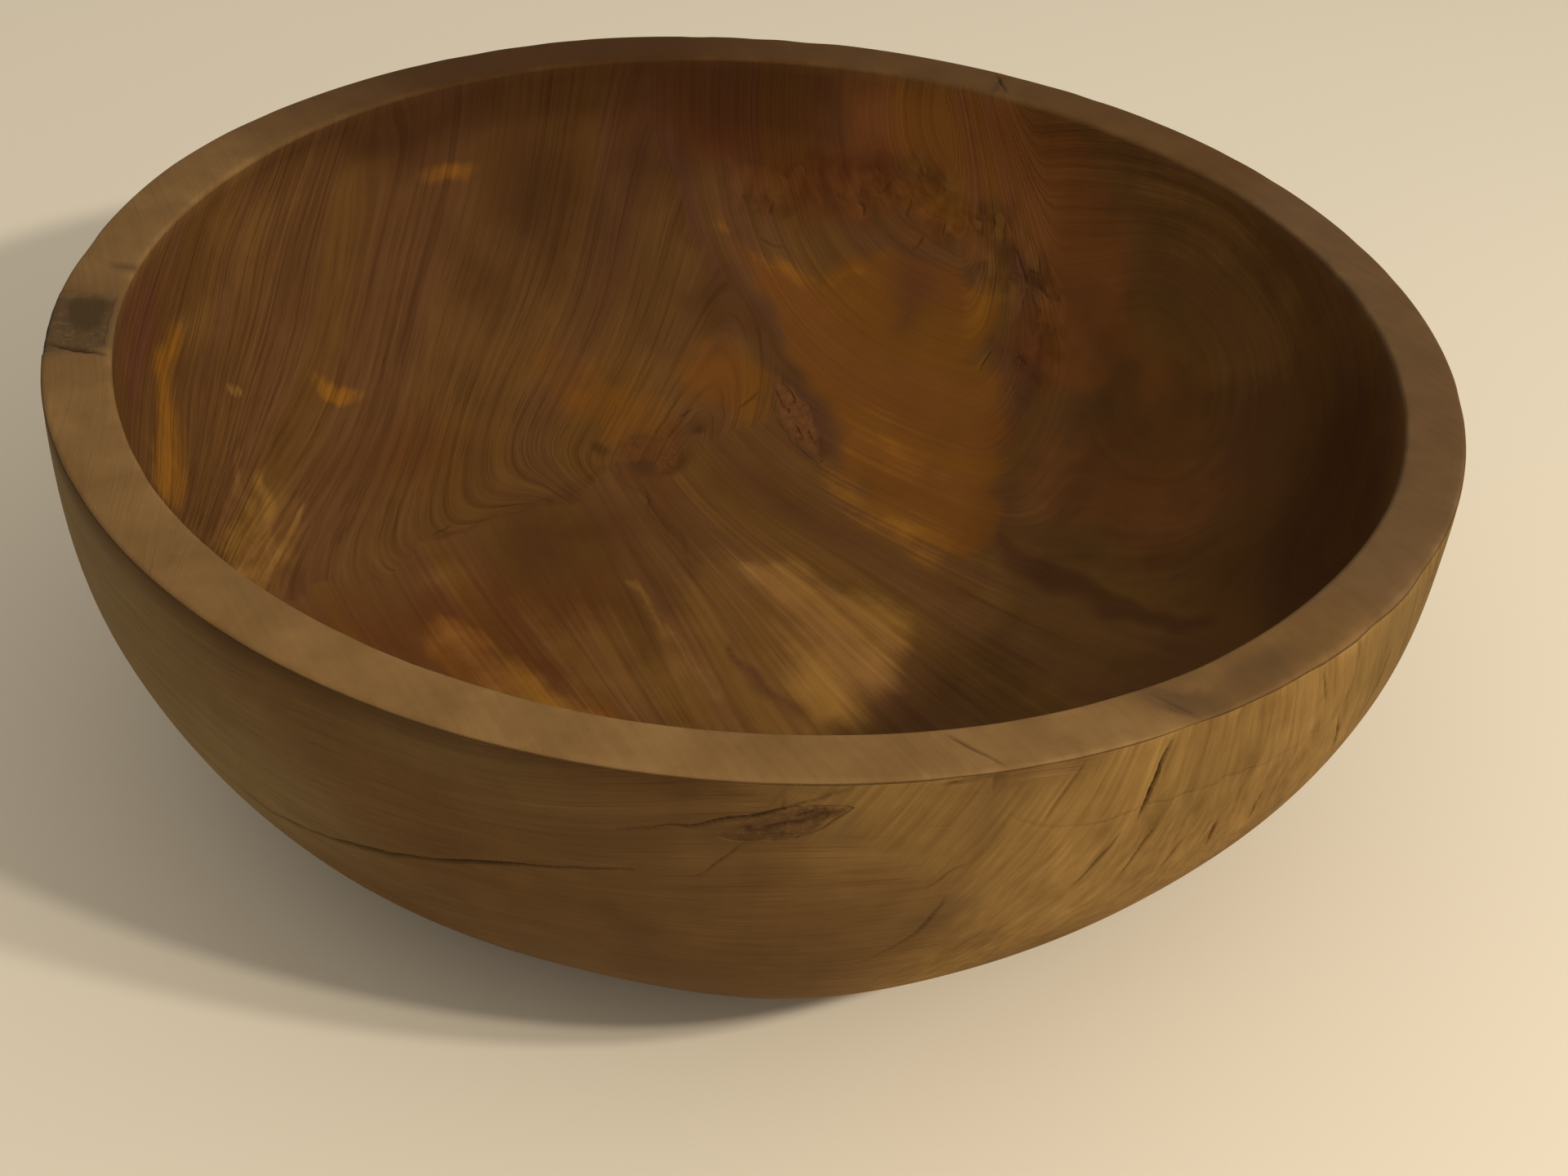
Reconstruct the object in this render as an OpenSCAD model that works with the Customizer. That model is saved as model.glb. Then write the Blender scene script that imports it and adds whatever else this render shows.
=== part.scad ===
// Dough bowl turned from one block of crotch wood.
// The knots and the ingrown bark that show in the block are pieces of their own, set in the turned wood.
// The foot stands on z = 0, the axis is Z, and the front of the bowl looks along -Y.

/* [Bowl] */
// Outer diameter at the rim
bowl_d = 380; // [320:5:460]
// Height from the foot to the rim
bowl_h = 125; // [105:1:160]
// Width of the flat rim
rim_w = 16; // [12:0.5:22]
// Thickness of the floor
floor_t = 20; // [16:0.5:28]
// Diameter of the flat foot
foot_d = 166; // [130:2:200]
// Diameter of the flat middle of the floor
floor_d = 84; // [50:2:120]
// Radius of the worn edges of the rim
rim_round = 1.5; // [0.5:0.1:4]
// Fullness of the outer curve, where 2 is an ellipse
outer_fullness = 2.28; // [2:0.01:2.7]
// Fullness of the inner curve, where 2 is an ellipse
inner_fullness = 2.35; // [2:0.01:2.7]

/* [Rim knot] */
// Diameter of the knot at the outer wall
rim_knot_d = 32; // [18:1:44]
// Diameter of the knot at its inner end
rim_knot_root_d = 26; // [14:1:40]
// Depth of the knot's axis below the rim
rim_knot_drop = 5; // [2:0.5:12]
// Thickness of the wood left between the knot and the inner wall
rim_knot_skin = 1.5; // [1:0.1:4]
// Direction of the knot from the bowl's axis, in degrees
rim_knot_az = 187.5; // [0:0.5:359]

/* [Heart knot] */
// Diameter of the knot above the floor
heart_knot_d = 26; // [14:1:36]
// Diameter of the knot at its root
heart_knot_root_d = 18; // [8:1:28]
// Depth of the knot below the inner face
heart_knot_depth = 12; // [6:0.5:14]
// Place of the knot, as a share of the way from the axis to the mouth's edge
heart_knot_place_share = 0.52; // [0.45:0.01:0.62]
// Direction of the knot from the bowl's axis, in degrees
heart_knot_az = 113; // [0:0.5:359]

/* [Inner bark] */
// Length of the bark seam in the inner face
inner_bark_l = 44; // [24:1:56]
// Width of the seam at its middle
inner_bark_w = 12; // [6:0.5:18]
// Depth of the seam below the inner face
inner_bark_depth = 10; // [6:0.5:12]
// Place of the seam, as a share of the way from the axis to the mouth's edge
inner_bark_place_share = 0.61; // [0.5:0.01:0.7]
// Direction of the seam's middle from the bowl's axis, in degrees
inner_bark_az = 83.5; // [0:0.5:359]
// Turn of the seam away from the radius, in degrees
inner_bark_turn = 31; // [0:1:90]

/* [Outer bark] */
// Length of the bark pocket in the outer wall
outer_bark_l = 30; // [16:1:44]
// Height of the pocket at its middle
outer_bark_w = 9; // [5:0.5:12]
// Depth of the pocket below the widest part of the wall
outer_bark_depth = 7; // [4:0.5:9]
// Depth of the pocket's middle below the rim
outer_bark_drop = 12; // [11:0.5:30]
// Direction of the pocket's middle from the bowl's axis, in degrees
outer_bark_az = -86.5; // [-180:0.5:179]
// Rise of the pocket towards its right end, in degrees
outer_bark_tilt = 19; // [0:1:30]

/* [Hidden] */
$fn = 240;

// Points along each curve of the profile and along each worn edge
curve_steps = 28;
edge_steps = 5;

bowl_r = bowl_d / 2;
foot_r = foot_d / 2;
floor_r = floor_d / 2;
mouth_r = bowl_r - rim_w;
wall_top = bowl_h - rim_round;
heart_knot_r = heart_knot_place_share * mouth_r;
inner_bark_r = inner_bark_place_share * mouth_r;

// One point of a quarter superellipse that leaves its foot level and ends upright
function curve_shares(turn, fullness) = [pow(sin(turn), 2 / fullness), 1 - pow(cos(turn), 2 / fullness)];

// The quarter curve between two corners, from the level end to the upright end
function wall_curve(low_r, low_z, high_r, high_z, fullness) = [
    for (step = [0 : curve_steps])
        let (at_shares = curve_shares(90 * step / curve_steps, fullness))
        [low_r + (high_r - low_r) * at_shares[0], low_z + (high_z - low_z) * at_shares[1]]
];

// A worn edge, without its first point
function worn_edge(center_r, from_angle) = [
    for (step = [1 : edge_steps])
        let (angle = from_angle + 90 * step / edge_steps)
        [center_r + rim_round * cos(angle), wall_top + rim_round * sin(angle)]
];

function reversed(points) = [for (i = [len(points) - 1 : -1 : 0]) points[i]];

// Height of the inner face at a distance from the axis
function inner_face_z(r) =
    let (out_share = max(0, r - floor_r) / (mouth_r - floor_r))
    floor_t + (wall_top - floor_t) * (1 - pow(1 - pow(out_share, inner_fullness), 1 / inner_fullness));

outer_wall = wall_curve(foot_r, 0, bowl_r, wall_top, outer_fullness);
inner_wall = wall_curve(floor_r, floor_t, mouth_r, wall_top, inner_fullness);
outer_edge = worn_edge(bowl_r - rim_round, 0);
inner_edge = worn_edge(mouth_r + rim_round, 90);
inner_wall_down = reversed(inner_wall);
inner_wall_below_edge = [for (i = [1 : len(inner_wall_down) - 1]) inner_wall_down[i]];

module turned_blank() {
    rotate_extrude()
        polygon(concat([[0, 0]], outer_wall, outer_edge, inner_edge, inner_wall_below_edge, [[0, floor_t]]));
}

// Outline with two pointed ends, its length along X
module lens(length, width) {
    side_r = (length * length + width * width) / (4 * width);
    intersection() {
        translate([0, side_r - width / 2]) circle(r = side_r);
        translate([0, width / 2 - side_r]) circle(r = side_r);
    }
}

// Branch stub lying along a radius just under the rim, open at the outer wall
module rim_knot_space() {
    root_r = mouth_r + rim_knot_skin;
    rotate([0, 0, rim_knot_az])
        translate([root_r, 0, bowl_h - rim_knot_drop])
            rotate([0, 90, 0])
                cylinder(h = rim_w, d1 = rim_knot_root_d, d2 = rim_knot_d);
}

// Branch stub standing in the floor, open at the inner face
module heart_knot_space() {
    rotate([0, 0, heart_knot_az])
        translate([heart_knot_r, 0, inner_face_z(heart_knot_r) - heart_knot_depth])
            cylinder(h = heart_knot_depth + heart_knot_d / 2, d1 = heart_knot_root_d, d2 = heart_knot_d);
}

// Seam of bark in the crotch, open at the inner face
module inner_bark_space() {
    rotate([0, 0, inner_bark_az])
        translate([inner_bark_r, 0, inner_face_z(inner_bark_r) - inner_bark_depth])
            rotate([0, 0, inner_bark_turn])
                linear_extrude(height = inner_bark_depth + inner_bark_l)
                    lens(inner_bark_l, inner_bark_w);
}

// Pocket of bark in the outer wall, open at that wall
module outer_bark_space() {
    rotate([0, 0, outer_bark_az])
        translate([bowl_r - outer_bark_depth, 0, bowl_h - outer_bark_drop])
            rotate([0, 90, 0])
                rotate([0, 0, 90 + outer_bark_tilt])
                    linear_extrude(height = outer_bark_depth + outer_bark_w)
                        lens(outer_bark_l, outer_bark_w);
}

module turned_bowl() {
    color([0.42, 0.27, 0.14])
        difference() {
            turned_blank();
            rim_knot_space();
            heart_knot_space();
            inner_bark_space();
            outer_bark_space();
        }
}

module rim_knot() {
    color([0.29, 0.26, 0.21])
        intersection() {
            turned_blank();
            rim_knot_space();
        }
}

module heart_knot() {
    color([0.31, 0.18, 0.10])
        intersection() {
            turned_blank();
            heart_knot_space();
        }
}

module inner_bark() {
    color([0.24, 0.14, 0.11])
        intersection() {
            turned_blank();
            inner_bark_space();
        }
}

module outer_bark() {
    color([0.25, 0.16, 0.11])
        intersection() {
            turned_blank();
            outer_bark_space();
        }
}

turned_bowl();
rim_knot();
heart_knot();
inner_bark();
outer_bark();
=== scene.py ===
import math

import bmesh
import bpy
import numpy as np
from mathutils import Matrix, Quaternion, Vector


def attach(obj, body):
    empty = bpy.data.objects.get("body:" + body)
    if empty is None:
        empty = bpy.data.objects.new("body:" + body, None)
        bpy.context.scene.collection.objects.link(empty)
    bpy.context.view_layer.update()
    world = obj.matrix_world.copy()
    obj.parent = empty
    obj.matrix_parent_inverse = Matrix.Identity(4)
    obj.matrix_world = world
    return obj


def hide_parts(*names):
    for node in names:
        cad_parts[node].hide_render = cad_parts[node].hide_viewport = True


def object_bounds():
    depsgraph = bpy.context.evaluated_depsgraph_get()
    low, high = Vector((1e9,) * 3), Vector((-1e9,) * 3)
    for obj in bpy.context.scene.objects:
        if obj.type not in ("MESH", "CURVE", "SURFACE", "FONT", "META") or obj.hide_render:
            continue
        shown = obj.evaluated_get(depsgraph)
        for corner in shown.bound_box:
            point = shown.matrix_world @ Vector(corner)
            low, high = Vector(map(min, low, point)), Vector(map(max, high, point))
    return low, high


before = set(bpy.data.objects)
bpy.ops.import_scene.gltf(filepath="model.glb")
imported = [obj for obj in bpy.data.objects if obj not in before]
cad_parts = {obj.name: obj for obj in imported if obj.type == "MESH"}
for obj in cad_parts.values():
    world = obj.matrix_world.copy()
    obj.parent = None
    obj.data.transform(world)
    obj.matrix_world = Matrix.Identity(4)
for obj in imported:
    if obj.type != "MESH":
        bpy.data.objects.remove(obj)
cad_low, cad_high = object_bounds()
scene = bpy.context.scene

# Shapes are worked out in millimetres and written to the meshes in metres
MM = 0.001

# The turned shape: the overall sizes are the frame's, the rest are the part's own
BOWL_R = (cad_high.x - cad_low.x) / 2 / MM
BOWL_H = cad_high.z / MM
RIM_W = 16.0
RIM_ROUND = 1.5
FLOOR_T = 20.0
FOOT_R = 83.0
FLOOR_R = 42.0
OUTER_FULLNESS = 2.28
INNER_FULLNESS = 2.35
MOUTH_R = BOWL_R - RIM_W
WALL_TOP = BOWL_H - RIM_ROUND

# Points along each stretch of the section, and spokes round the axis
FOOT_STEPS = 6
OUTER_STEPS = 52
EDGE_STEPS = 5
RIM_STEPS = 6
INNER_STEPS = 84
FLOOR_STEPS = 16
SPOKES = 340


class Wire:
    """A node's socket that takes part in Python expressions: each operator adds its Math node."""

    def __init__(self, tree, socket=None):
        self.tree = tree
        self.socket = socket

    def node(self, kind, settings=None, sockets=None, out=0):
        made = self.tree.nodes.new(kind)
        for name, value in (settings or {}).items():
            setattr(made, name, value)
        for key, value in (sockets or {}).items():
            if isinstance(value, Wire):
                self.tree.links.new(value.socket, made.inputs[key])
            else:
                made.inputs[key].default_value = value
        return Wire(self.tree, made.outputs[out] if len(made.outputs) else None)

    def other(self, out):
        return Wire(self.tree, self.socket.node.outputs[out])

    def math(self, operation, first, second=0.0):
        return self.node("ShaderNodeMath", {"operation": operation}, {0: first, 1: second})

    def __add__(self, other):
        return self.math("ADD", self, other)

    def __sub__(self, other):
        return self.math("SUBTRACT", self, other)

    def __rsub__(self, other):
        return self.math("SUBTRACT", other, self)

    def __mul__(self, other):
        return self.math("MULTIPLY", self, other)

    __radd__ = __add__
    __rmul__ = __mul__

    def __abs__(self):
        return self.math("ABSOLUTE", self)

    def sin(self):
        return self.math("SINE", self)

    def cos(self):
        return self.math("COSINE", self)

    def soft_step(self, low, high):
        """0 below low, 1 above high and a smooth rise between them."""
        return self.node(
            "ShaderNodeMapRange",
            {"interpolation_type": "SMOOTHSTEP"},
            {"Value": self, "From Min": low, "From Max": high},
        )

    def between(self, first, second):
        """A colour between two colours, with this value as the share of the second."""
        return self.node("ShaderNodeMix", {"data_type": "RGBA"}, {0: self, 6: first, 7: second}, 2)

    def noise(self, scale, detail=2.0, rough=0.5, out="Fac"):
        """Noise read at this vector, with the scale in cycles for each unit of the vector."""
        return self.node(
            "ShaderNodeTexNoise",
            {"noise_dimensions": "3D"},
            {"Vector": self, "Scale": scale, "Detail": detail, "Roughness": rough},
            out,
        )

    def vector(self, operation, other, out=0):
        """Vector maths, which keeps the three parts of a vector apart."""
        return self.node("ShaderNodeVectorMath", {"operation": operation}, {0: self, 1: other}, out)

    def moved(self, other):
        return self.vector("ADD", other)

    def scaled(self, factor):
        return self.node("ShaderNodeVectorMath", {"operation": "SCALE"}, {0: self, "Scale": factor})


def colour(red, green, blue):
    return (red, green, blue, 1.0)


def soft_step(low, high, value):
    share = np.clip((value - low) / (high - low), 0.0, 1.0)
    return share * share * (3 - 2 * share)


def window(rise, fall, value):
    """1 between a rise and a fall, each given by where it starts and ends, and 0 outside them."""
    return soft_step(*rise, value) * soft_step(*fall, value)


def placed(name, data):
    """A new object in the scene, at the origin."""
    made = bpy.data.objects.new(name, data)
    scene.collection.objects.link(made)
    return made


def plain_mesh(made):
    """The mesh that an object's modifiers give."""
    return bpy.data.meshes.new_from_object(made.evaluated_get(bpy.context.evaluated_depsgraph_get()))


def wander(spots, size, seed):
    """Smooth random values with a spread of about 1 that change over the given size."""
    random = np.random.default_rng(seed)
    total = np.zeros(len(spots))
    waves = 12
    for _ in range(waves):
        direction = random.normal(size=3)
        direction /= np.linalg.norm(direction)
        length = size * random.uniform(1.2, 2.6)
        total += np.sin(math.tau * (spots @ direction) / length + random.uniform(0, math.tau))
    return total / math.sqrt(waves / 2)


def quarter_curve(low, high, fullness, steps):
    """A quarter superellipse that leaves its low end level and reaches its high end upright."""
    turn = np.linspace(0, math.pi / 2, steps + 1)
    out = np.sin(turn) ** (2 / fullness)
    up = 1 - np.clip(np.cos(turn), 0, 1) ** (2 / fullness)
    return np.column_stack([low[0] + (high[0] - low[0]) * out, low[1] + (high[1] - low[1]) * up])


def worn_edge(middle_r, from_turn):
    turn = np.radians(from_turn + np.linspace(0, 90, EDGE_STEPS + 1))
    return np.column_stack([middle_r + RIM_ROUND * np.cos(turn), WALL_TOP + RIM_ROUND * np.sin(turn)])


class TurnedShape:
    """The section of the bowl, from the middle of the foot over the rim to the middle of the floor.

    A point of the surface is given by its direction from the axis and by its run, the length along
    the section.
    """

    def __init__(self):
        foot_r = np.linspace(0, FOOT_R, FOOT_STEPS, endpoint=False)
        foot = np.column_stack([foot_r, np.zeros(FOOT_STEPS)])
        outer = quarter_curve((FOOT_R, 0), (BOWL_R, WALL_TOP), OUTER_FULLNESS, OUTER_STEPS)
        outer_edge = worn_edge(BOWL_R - RIM_ROUND, 0)[1:]
        rim_r = np.linspace(BOWL_R - RIM_ROUND, MOUTH_R + RIM_ROUND, RIM_STEPS + 1)[1:-1]
        rim = np.column_stack([rim_r, np.full(len(rim_r), BOWL_H)])
        inner_edge = worn_edge(MOUTH_R + RIM_ROUND, 90)
        inner = quarter_curve((FLOOR_R, FLOOR_T), (MOUTH_R, WALL_TOP), INNER_FULLNESS, INNER_STEPS)
        inner = inner[::-1][1:]
        floor_r = np.linspace(FLOOR_R, 0, FLOOR_STEPS + 1)[1:]
        floor = np.column_stack([floor_r, np.full(FLOOR_STEPS, FLOOR_T)])
        stretches = [foot, outer, outer_edge, rim, inner_edge, inner, floor]
        self.section = np.vstack(stretches)
        ends = np.cumsum([len(stretch) for stretch in stretches])
        steps = np.linalg.norm(np.diff(self.section, axis=0), axis=1)
        self.runs = np.concatenate([[0.0], np.cumsum(steps)])
        self.outer_range = slice(ends[0], ends[1])
        self.inner_range = slice(ends[4] - 1, len(self.section))
        self.wall_run = self.runs[ends[0]]
        self.rim_out_run = self.runs[ends[1] - 1]
        self.rim_run = self.runs[ends[2] - 1]
        self.rim_in_run = self.runs[ends[4] - 1]
        slope = np.gradient(self.section, self.runs, axis=0)
        slope /= np.linalg.norm(slope, axis=1)[:, None]
        self.normals = np.column_stack([slope[:, 1], -slope[:, 0]])

    def outer_at(self, height):
        """Run of the outer wall at a height above the foot."""
        return np.interp(height, self.section[self.outer_range, 1], self.runs[self.outer_range])

    def rim_at(self, distance):
        """Run of the rim's top at a distance from the axis."""
        return self.rim_run + (BOWL_R - RIM_ROUND) - distance

    def inner_at(self, distance):
        """Run of the inner face at a distance from the axis."""
        radii = self.section[self.inner_range, 0][::-1]
        return np.interp(distance, radii, self.runs[self.inner_range][::-1])

    def radius(self, run):
        return np.interp(run, self.runs, self.section[:, 0])

    def place(self, az, run):
        """Points of the surface."""
        r = self.radius(run)
        z = np.interp(run, self.runs, self.section[:, 1])
        return np.column_stack([r * np.cos(az), r * np.sin(az), z])

    def outward(self, az, run):
        """Directions out of the wood at points of the surface."""
        out = np.interp(run, self.runs, self.normals[:, 0])
        up = np.interp(run, self.runs, self.normals[:, 1])
        length = np.hypot(out, up)
        return np.column_stack([out * np.cos(az), out * np.sin(az), up]) / length[:, None]

    def unroll(self, spots):
        """Direction and run of points that lie on the surface."""
        r = np.hypot(spots[:, 0], spots[:, 1])
        flat = np.column_stack([r, spots[:, 2]])
        run = np.zeros(len(spots))
        best = np.full(len(spots), np.inf)
        for index in range(len(self.section) - 1):
            start = self.section[index]
            step = self.section[index + 1] - start
            share = np.clip(((flat - start) @ step) / (step @ step), 0, 1)
            gap = np.linalg.norm(flat - start - share[:, None] * step, axis=1)
            nearer = gap < best
            best[nearer] = gap[nearer]
            run[nearer] = (self.runs[index] + share * (self.runs[index + 1] - self.runs[index]))[nearer]
        return np.arctan2(spots[:, 1], spots[:, 0]), run


SHAPE = TurnedShape()


def on_outer(az, height):
    return math.radians(az), float(SHAPE.outer_at(height))


def on_rim(az, distance):
    return math.radians(az), float(SHAPE.rim_at(distance))


def on_inside(x, y):
    return math.atan2(y, x), float(SHAPE.inner_at(math.hypot(x, y)))


# How far the rim's outer edge moves out in drying on average, and where it moves most, in degrees
RIM_SPREAD = 1.1
RIM_SPREAD_AZ = 130
# Swells and flats of the wall in millimetres, with the direction and the width of each in degrees
WALL_SWELLS = ((1.33, -84, 13), (-1.12, -52, 17), (1.4, -20, 16), (0.7, -150, 25))


def dried(spots):
    """Points of the turned shape after the block has moved in drying.

    The rim's outer edge is out of round at the back and on the left, and the front wall has swells
    and a flat.
    """
    x, y, z = spots.T
    az = np.arctan2(y, x)
    degrees = np.degrees(az)
    r = np.hypot(x, y)
    at_rim = soft_step(MOUTH_R - 1, BOWL_R - 2, r) * soft_step(35, 110, z)
    out = at_rim * RIM_SPREAD * (1 + np.cos(az - math.radians(RIM_SPREAD_AZ)))
    outer = SHAPE.section[SHAPE.outer_range]
    below_skin = np.interp(z, outer[:, 1], outer[:, 0]) - r
    at_wall = soft_step(9, 2, below_skin) * window((4, 22), (112, 75), z)
    swell = sum(height * np.exp(-((degrees - at) / width) ** 2) for height, at, width in WALL_SWELLS)
    lower = at_wall * swell
    out = out + lower
    return np.column_stack([x + out * np.cos(az), y + out * np.sin(az), z - lower])


class Groove:
    """A crack or scratch along a line on the surface."""

    # Spacing of the line's points, rounds of smoothing for its corners and for its shake
    spacing = 1.4
    corner_rounds = 4
    shake_rounds = 3
    # How far from the line a point is still measured
    margin = 8

    def __init__(self, corners, half_width, depth, seed, wiggle=0.5, dirt=1.0):
        corners = np.array(corners)
        across = corners[:, 0] * SHAPE.radius(corners[:, 1])
        lengths = np.hypot(np.diff(across), np.diff(corners[:, 1]))
        marks = np.concatenate([[0], np.cumsum(lengths)])
        count = max(9, int(marks[-1] / self.spacing))
        at = np.linspace(0, marks[-1], count)
        az = np.interp(at, marks, corners[:, 0])
        run = np.interp(at, marks, corners[:, 1])
        for _ in range(self.corner_rounds):
            az[1:-1] = (az[:-2] + 2 * az[1:-1] + az[2:]) / 4
            run[1:-1] = (run[:-2] + 2 * run[1:-1] + run[2:]) / 4
        random = np.random.default_rng(seed)
        shake = random.normal(size=(2, count))
        for _ in range(self.shake_rounds):
            shake = (shake + np.roll(shake, 1, axis=1)) / 2
        shake *= wiggle
        self.path = SHAPE.place(az + shake[0] / SHAPE.radius(run), run + shake[1])
        self.half_width = half_width
        self.depth = depth
        self.dirt = dirt
        self.pinch = 0.8 + 0.2 * np.sin(random.uniform(0, 6) + np.linspace(0, marks[-1] / 5, count))

    def near(self, spots):
        """Distance of each point from the line, and its place along it from 0 to 1."""
        gap = np.full(len(spots), np.inf)
        along = np.zeros(len(spots))
        low = self.path.min(axis=0) - self.margin
        high = self.path.max(axis=0) + self.margin
        close = np.flatnonzero(np.all((spots > low) & (spots < high), axis=1))
        count = len(self.path) - 1
        for index in range(count):
            start = self.path[index]
            step = self.path[index + 1] - start
            share = np.clip(((spots[close] - start) @ step) / (step @ step), 0, 1)
            distance = np.linalg.norm(spots[close] - start - share[:, None] * step, axis=1)
            nearer = distance < gap[close]
            gap[close[nearer]] = distance[nearer]
            along[close[nearer]] = (index + share[nearer]) / count
        return gap, along

    def taper(self, along):
        marks = np.linspace(0, 1, len(self.pinch))
        return np.sin(math.pi * np.clip(along, 0.02, 0.98)) ** 0.5 * np.interp(along, marks, self.pinch)


class Inset:
    """A knot or a piece of bark: an outline on the surface round a middle, tapering to a root below it."""

    def __init__(self, middle, outline, root, depth_share, seed, rough):
        self.az, self.run = middle
        turns = np.arctan2(outline[:, 1], outline[:, 0])
        order = np.argsort(turns)
        self.turns = turns[order]
        self.reaches = np.hypot(outline[:, 0], outline[:, 1])[order]
        self.root = np.array(root)
        self.depth_share = depth_share
        random = np.random.default_rng(seed)
        self.ripples = [
            (count, random.uniform(0.3, 1.0) * rough, random.uniform(0, 6)) for count in (2, 3, 5, 8, 13)
        ]

    def reach(self, turn):
        """Distance of the outline from the middle in a direction on the surface."""
        reach = np.interp(turn, self.turns, self.reaches, period=math.tau)
        ripple = sum(size * np.sin(count * turn + phase) for count, size, phase in self.ripples)
        return reach * (1 + ripple)

    def flat(self, az, run):
        """Place of surface points on the unrolled surface round the middle."""
        turn = (az - self.az + math.pi) % math.tau - math.pi
        return turn * SHAPE.radius(run), run - self.run

    def wrapped(self, across, along):
        run = self.run + along
        return self.az + across / np.maximum(SHAPE.radius(run), 1.0), run


# The rim knot: its widths at the wall and on the rim, its depth below the rim, the wood left inside it
RIM_KNOT_D = 32.0
RIM_KNOT_END_W = 25.0
RIM_KNOT_DROP = 5.0
RIM_KNOT_SKIN = 1.6
RIM_KNOT_AZ = 187.5
# The point that it tapers to: distance from the axis and depth below the rim
RIM_KNOT_ROOT_R = 182.0
RIM_KNOT_ROOT_DROP = 22.0


def lens_outline(length, width, turn, count=160):
    """A lens with two pointed ends, its length turned on the unrolled surface."""
    half = length / 2
    rise = width / 2
    side_r = (half * half + rise * rise) / (2 * rise)
    drop = side_r - rise
    at = np.linspace(-math.pi, math.pi, count, endpoint=False)
    level = np.abs(np.sin(at))
    reach = -level * drop + np.sqrt(level * level * drop * drop + side_r * side_r - drop * drop)
    at = at + math.radians(turn)
    return np.column_stack([reach * np.cos(at), reach * np.sin(at)])


def round_outline(radius, count=96):
    at = np.linspace(-math.pi, math.pi, count, endpoint=False)
    return np.column_stack([radius * np.cos(at), radius * np.sin(at)])


def stub_outline(count=60):
    """The rim knot laid flat: round on the wall below the rim, then across the rim to its inner edge."""
    half_out = RIM_KNOT_D / 2
    half_end = RIM_KNOT_END_W / 2
    lower_turn = np.linspace(math.pi, math.tau, count)
    lower = np.column_stack([half_out * np.cos(lower_turn), half_out * np.sin(lower_turn)])
    up = np.linspace(0, 1, count)[1:]
    top = SHAPE.rim_at(MOUTH_R + RIM_KNOT_SKIN) - SHAPE.outer_at(BOWL_H - RIM_KNOT_DROP)
    right = np.column_stack([half_out + (half_end - half_out) * up ** 2, top * up])
    across = np.linspace(half_end, -half_end, count)[1:-1]
    end = np.column_stack([across, np.full(len(across), top)])
    left = np.column_stack([-right[::-1, 0], right[::-1, 1]])
    return np.vstack([lower, right, end, left])


def root_below(middle, depth):
    az = np.array([middle[0]])
    run = np.array([middle[1]])
    return (SHAPE.place(az, run) - depth * SHAPE.outward(az, run))[0]


def inset_below(middle, outline, root_depth, depth_share, seed, rough):
    """An inset that tapers straight into the wood below its middle."""
    return Inset(middle, outline, root_below(middle, root_depth), depth_share, seed, rough)


RIM_KNOT_MIDDLE = on_outer(RIM_KNOT_AZ, BOWL_H - RIM_KNOT_DROP)
RIM_KNOT_ROOT = np.array([
    RIM_KNOT_ROOT_R * math.cos(RIM_KNOT_MIDDLE[0]),
    RIM_KNOT_ROOT_R * math.sin(RIM_KNOT_MIDDLE[0]),
    BOWL_H - RIM_KNOT_ROOT_DROP,
])

# Each inset: middle, outline, root or its depth, share of the way to it that is filled, seed, roughness
INSETS = {
    "rim_knot": Inset(RIM_KNOT_MIDDLE, stub_outline(), RIM_KNOT_ROOT, 0.45, 11, 0.012),
    "heart_knot": inset_below(on_inside(-35.3, 83.3), round_outline(11.0), 24, 0.45, 12, 0.02),
    "inner_bark": inset_below(on_inside(12.0, 105.5), lens_outline(44, 12, 121), 20, 0.4, 13, 0.03),
    "outer_bark": inset_below(on_outer(-86.5, BOWL_H - 12), lens_outline(30, 9, 19), 13, 0.4, 14, 0.03),
}

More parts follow.
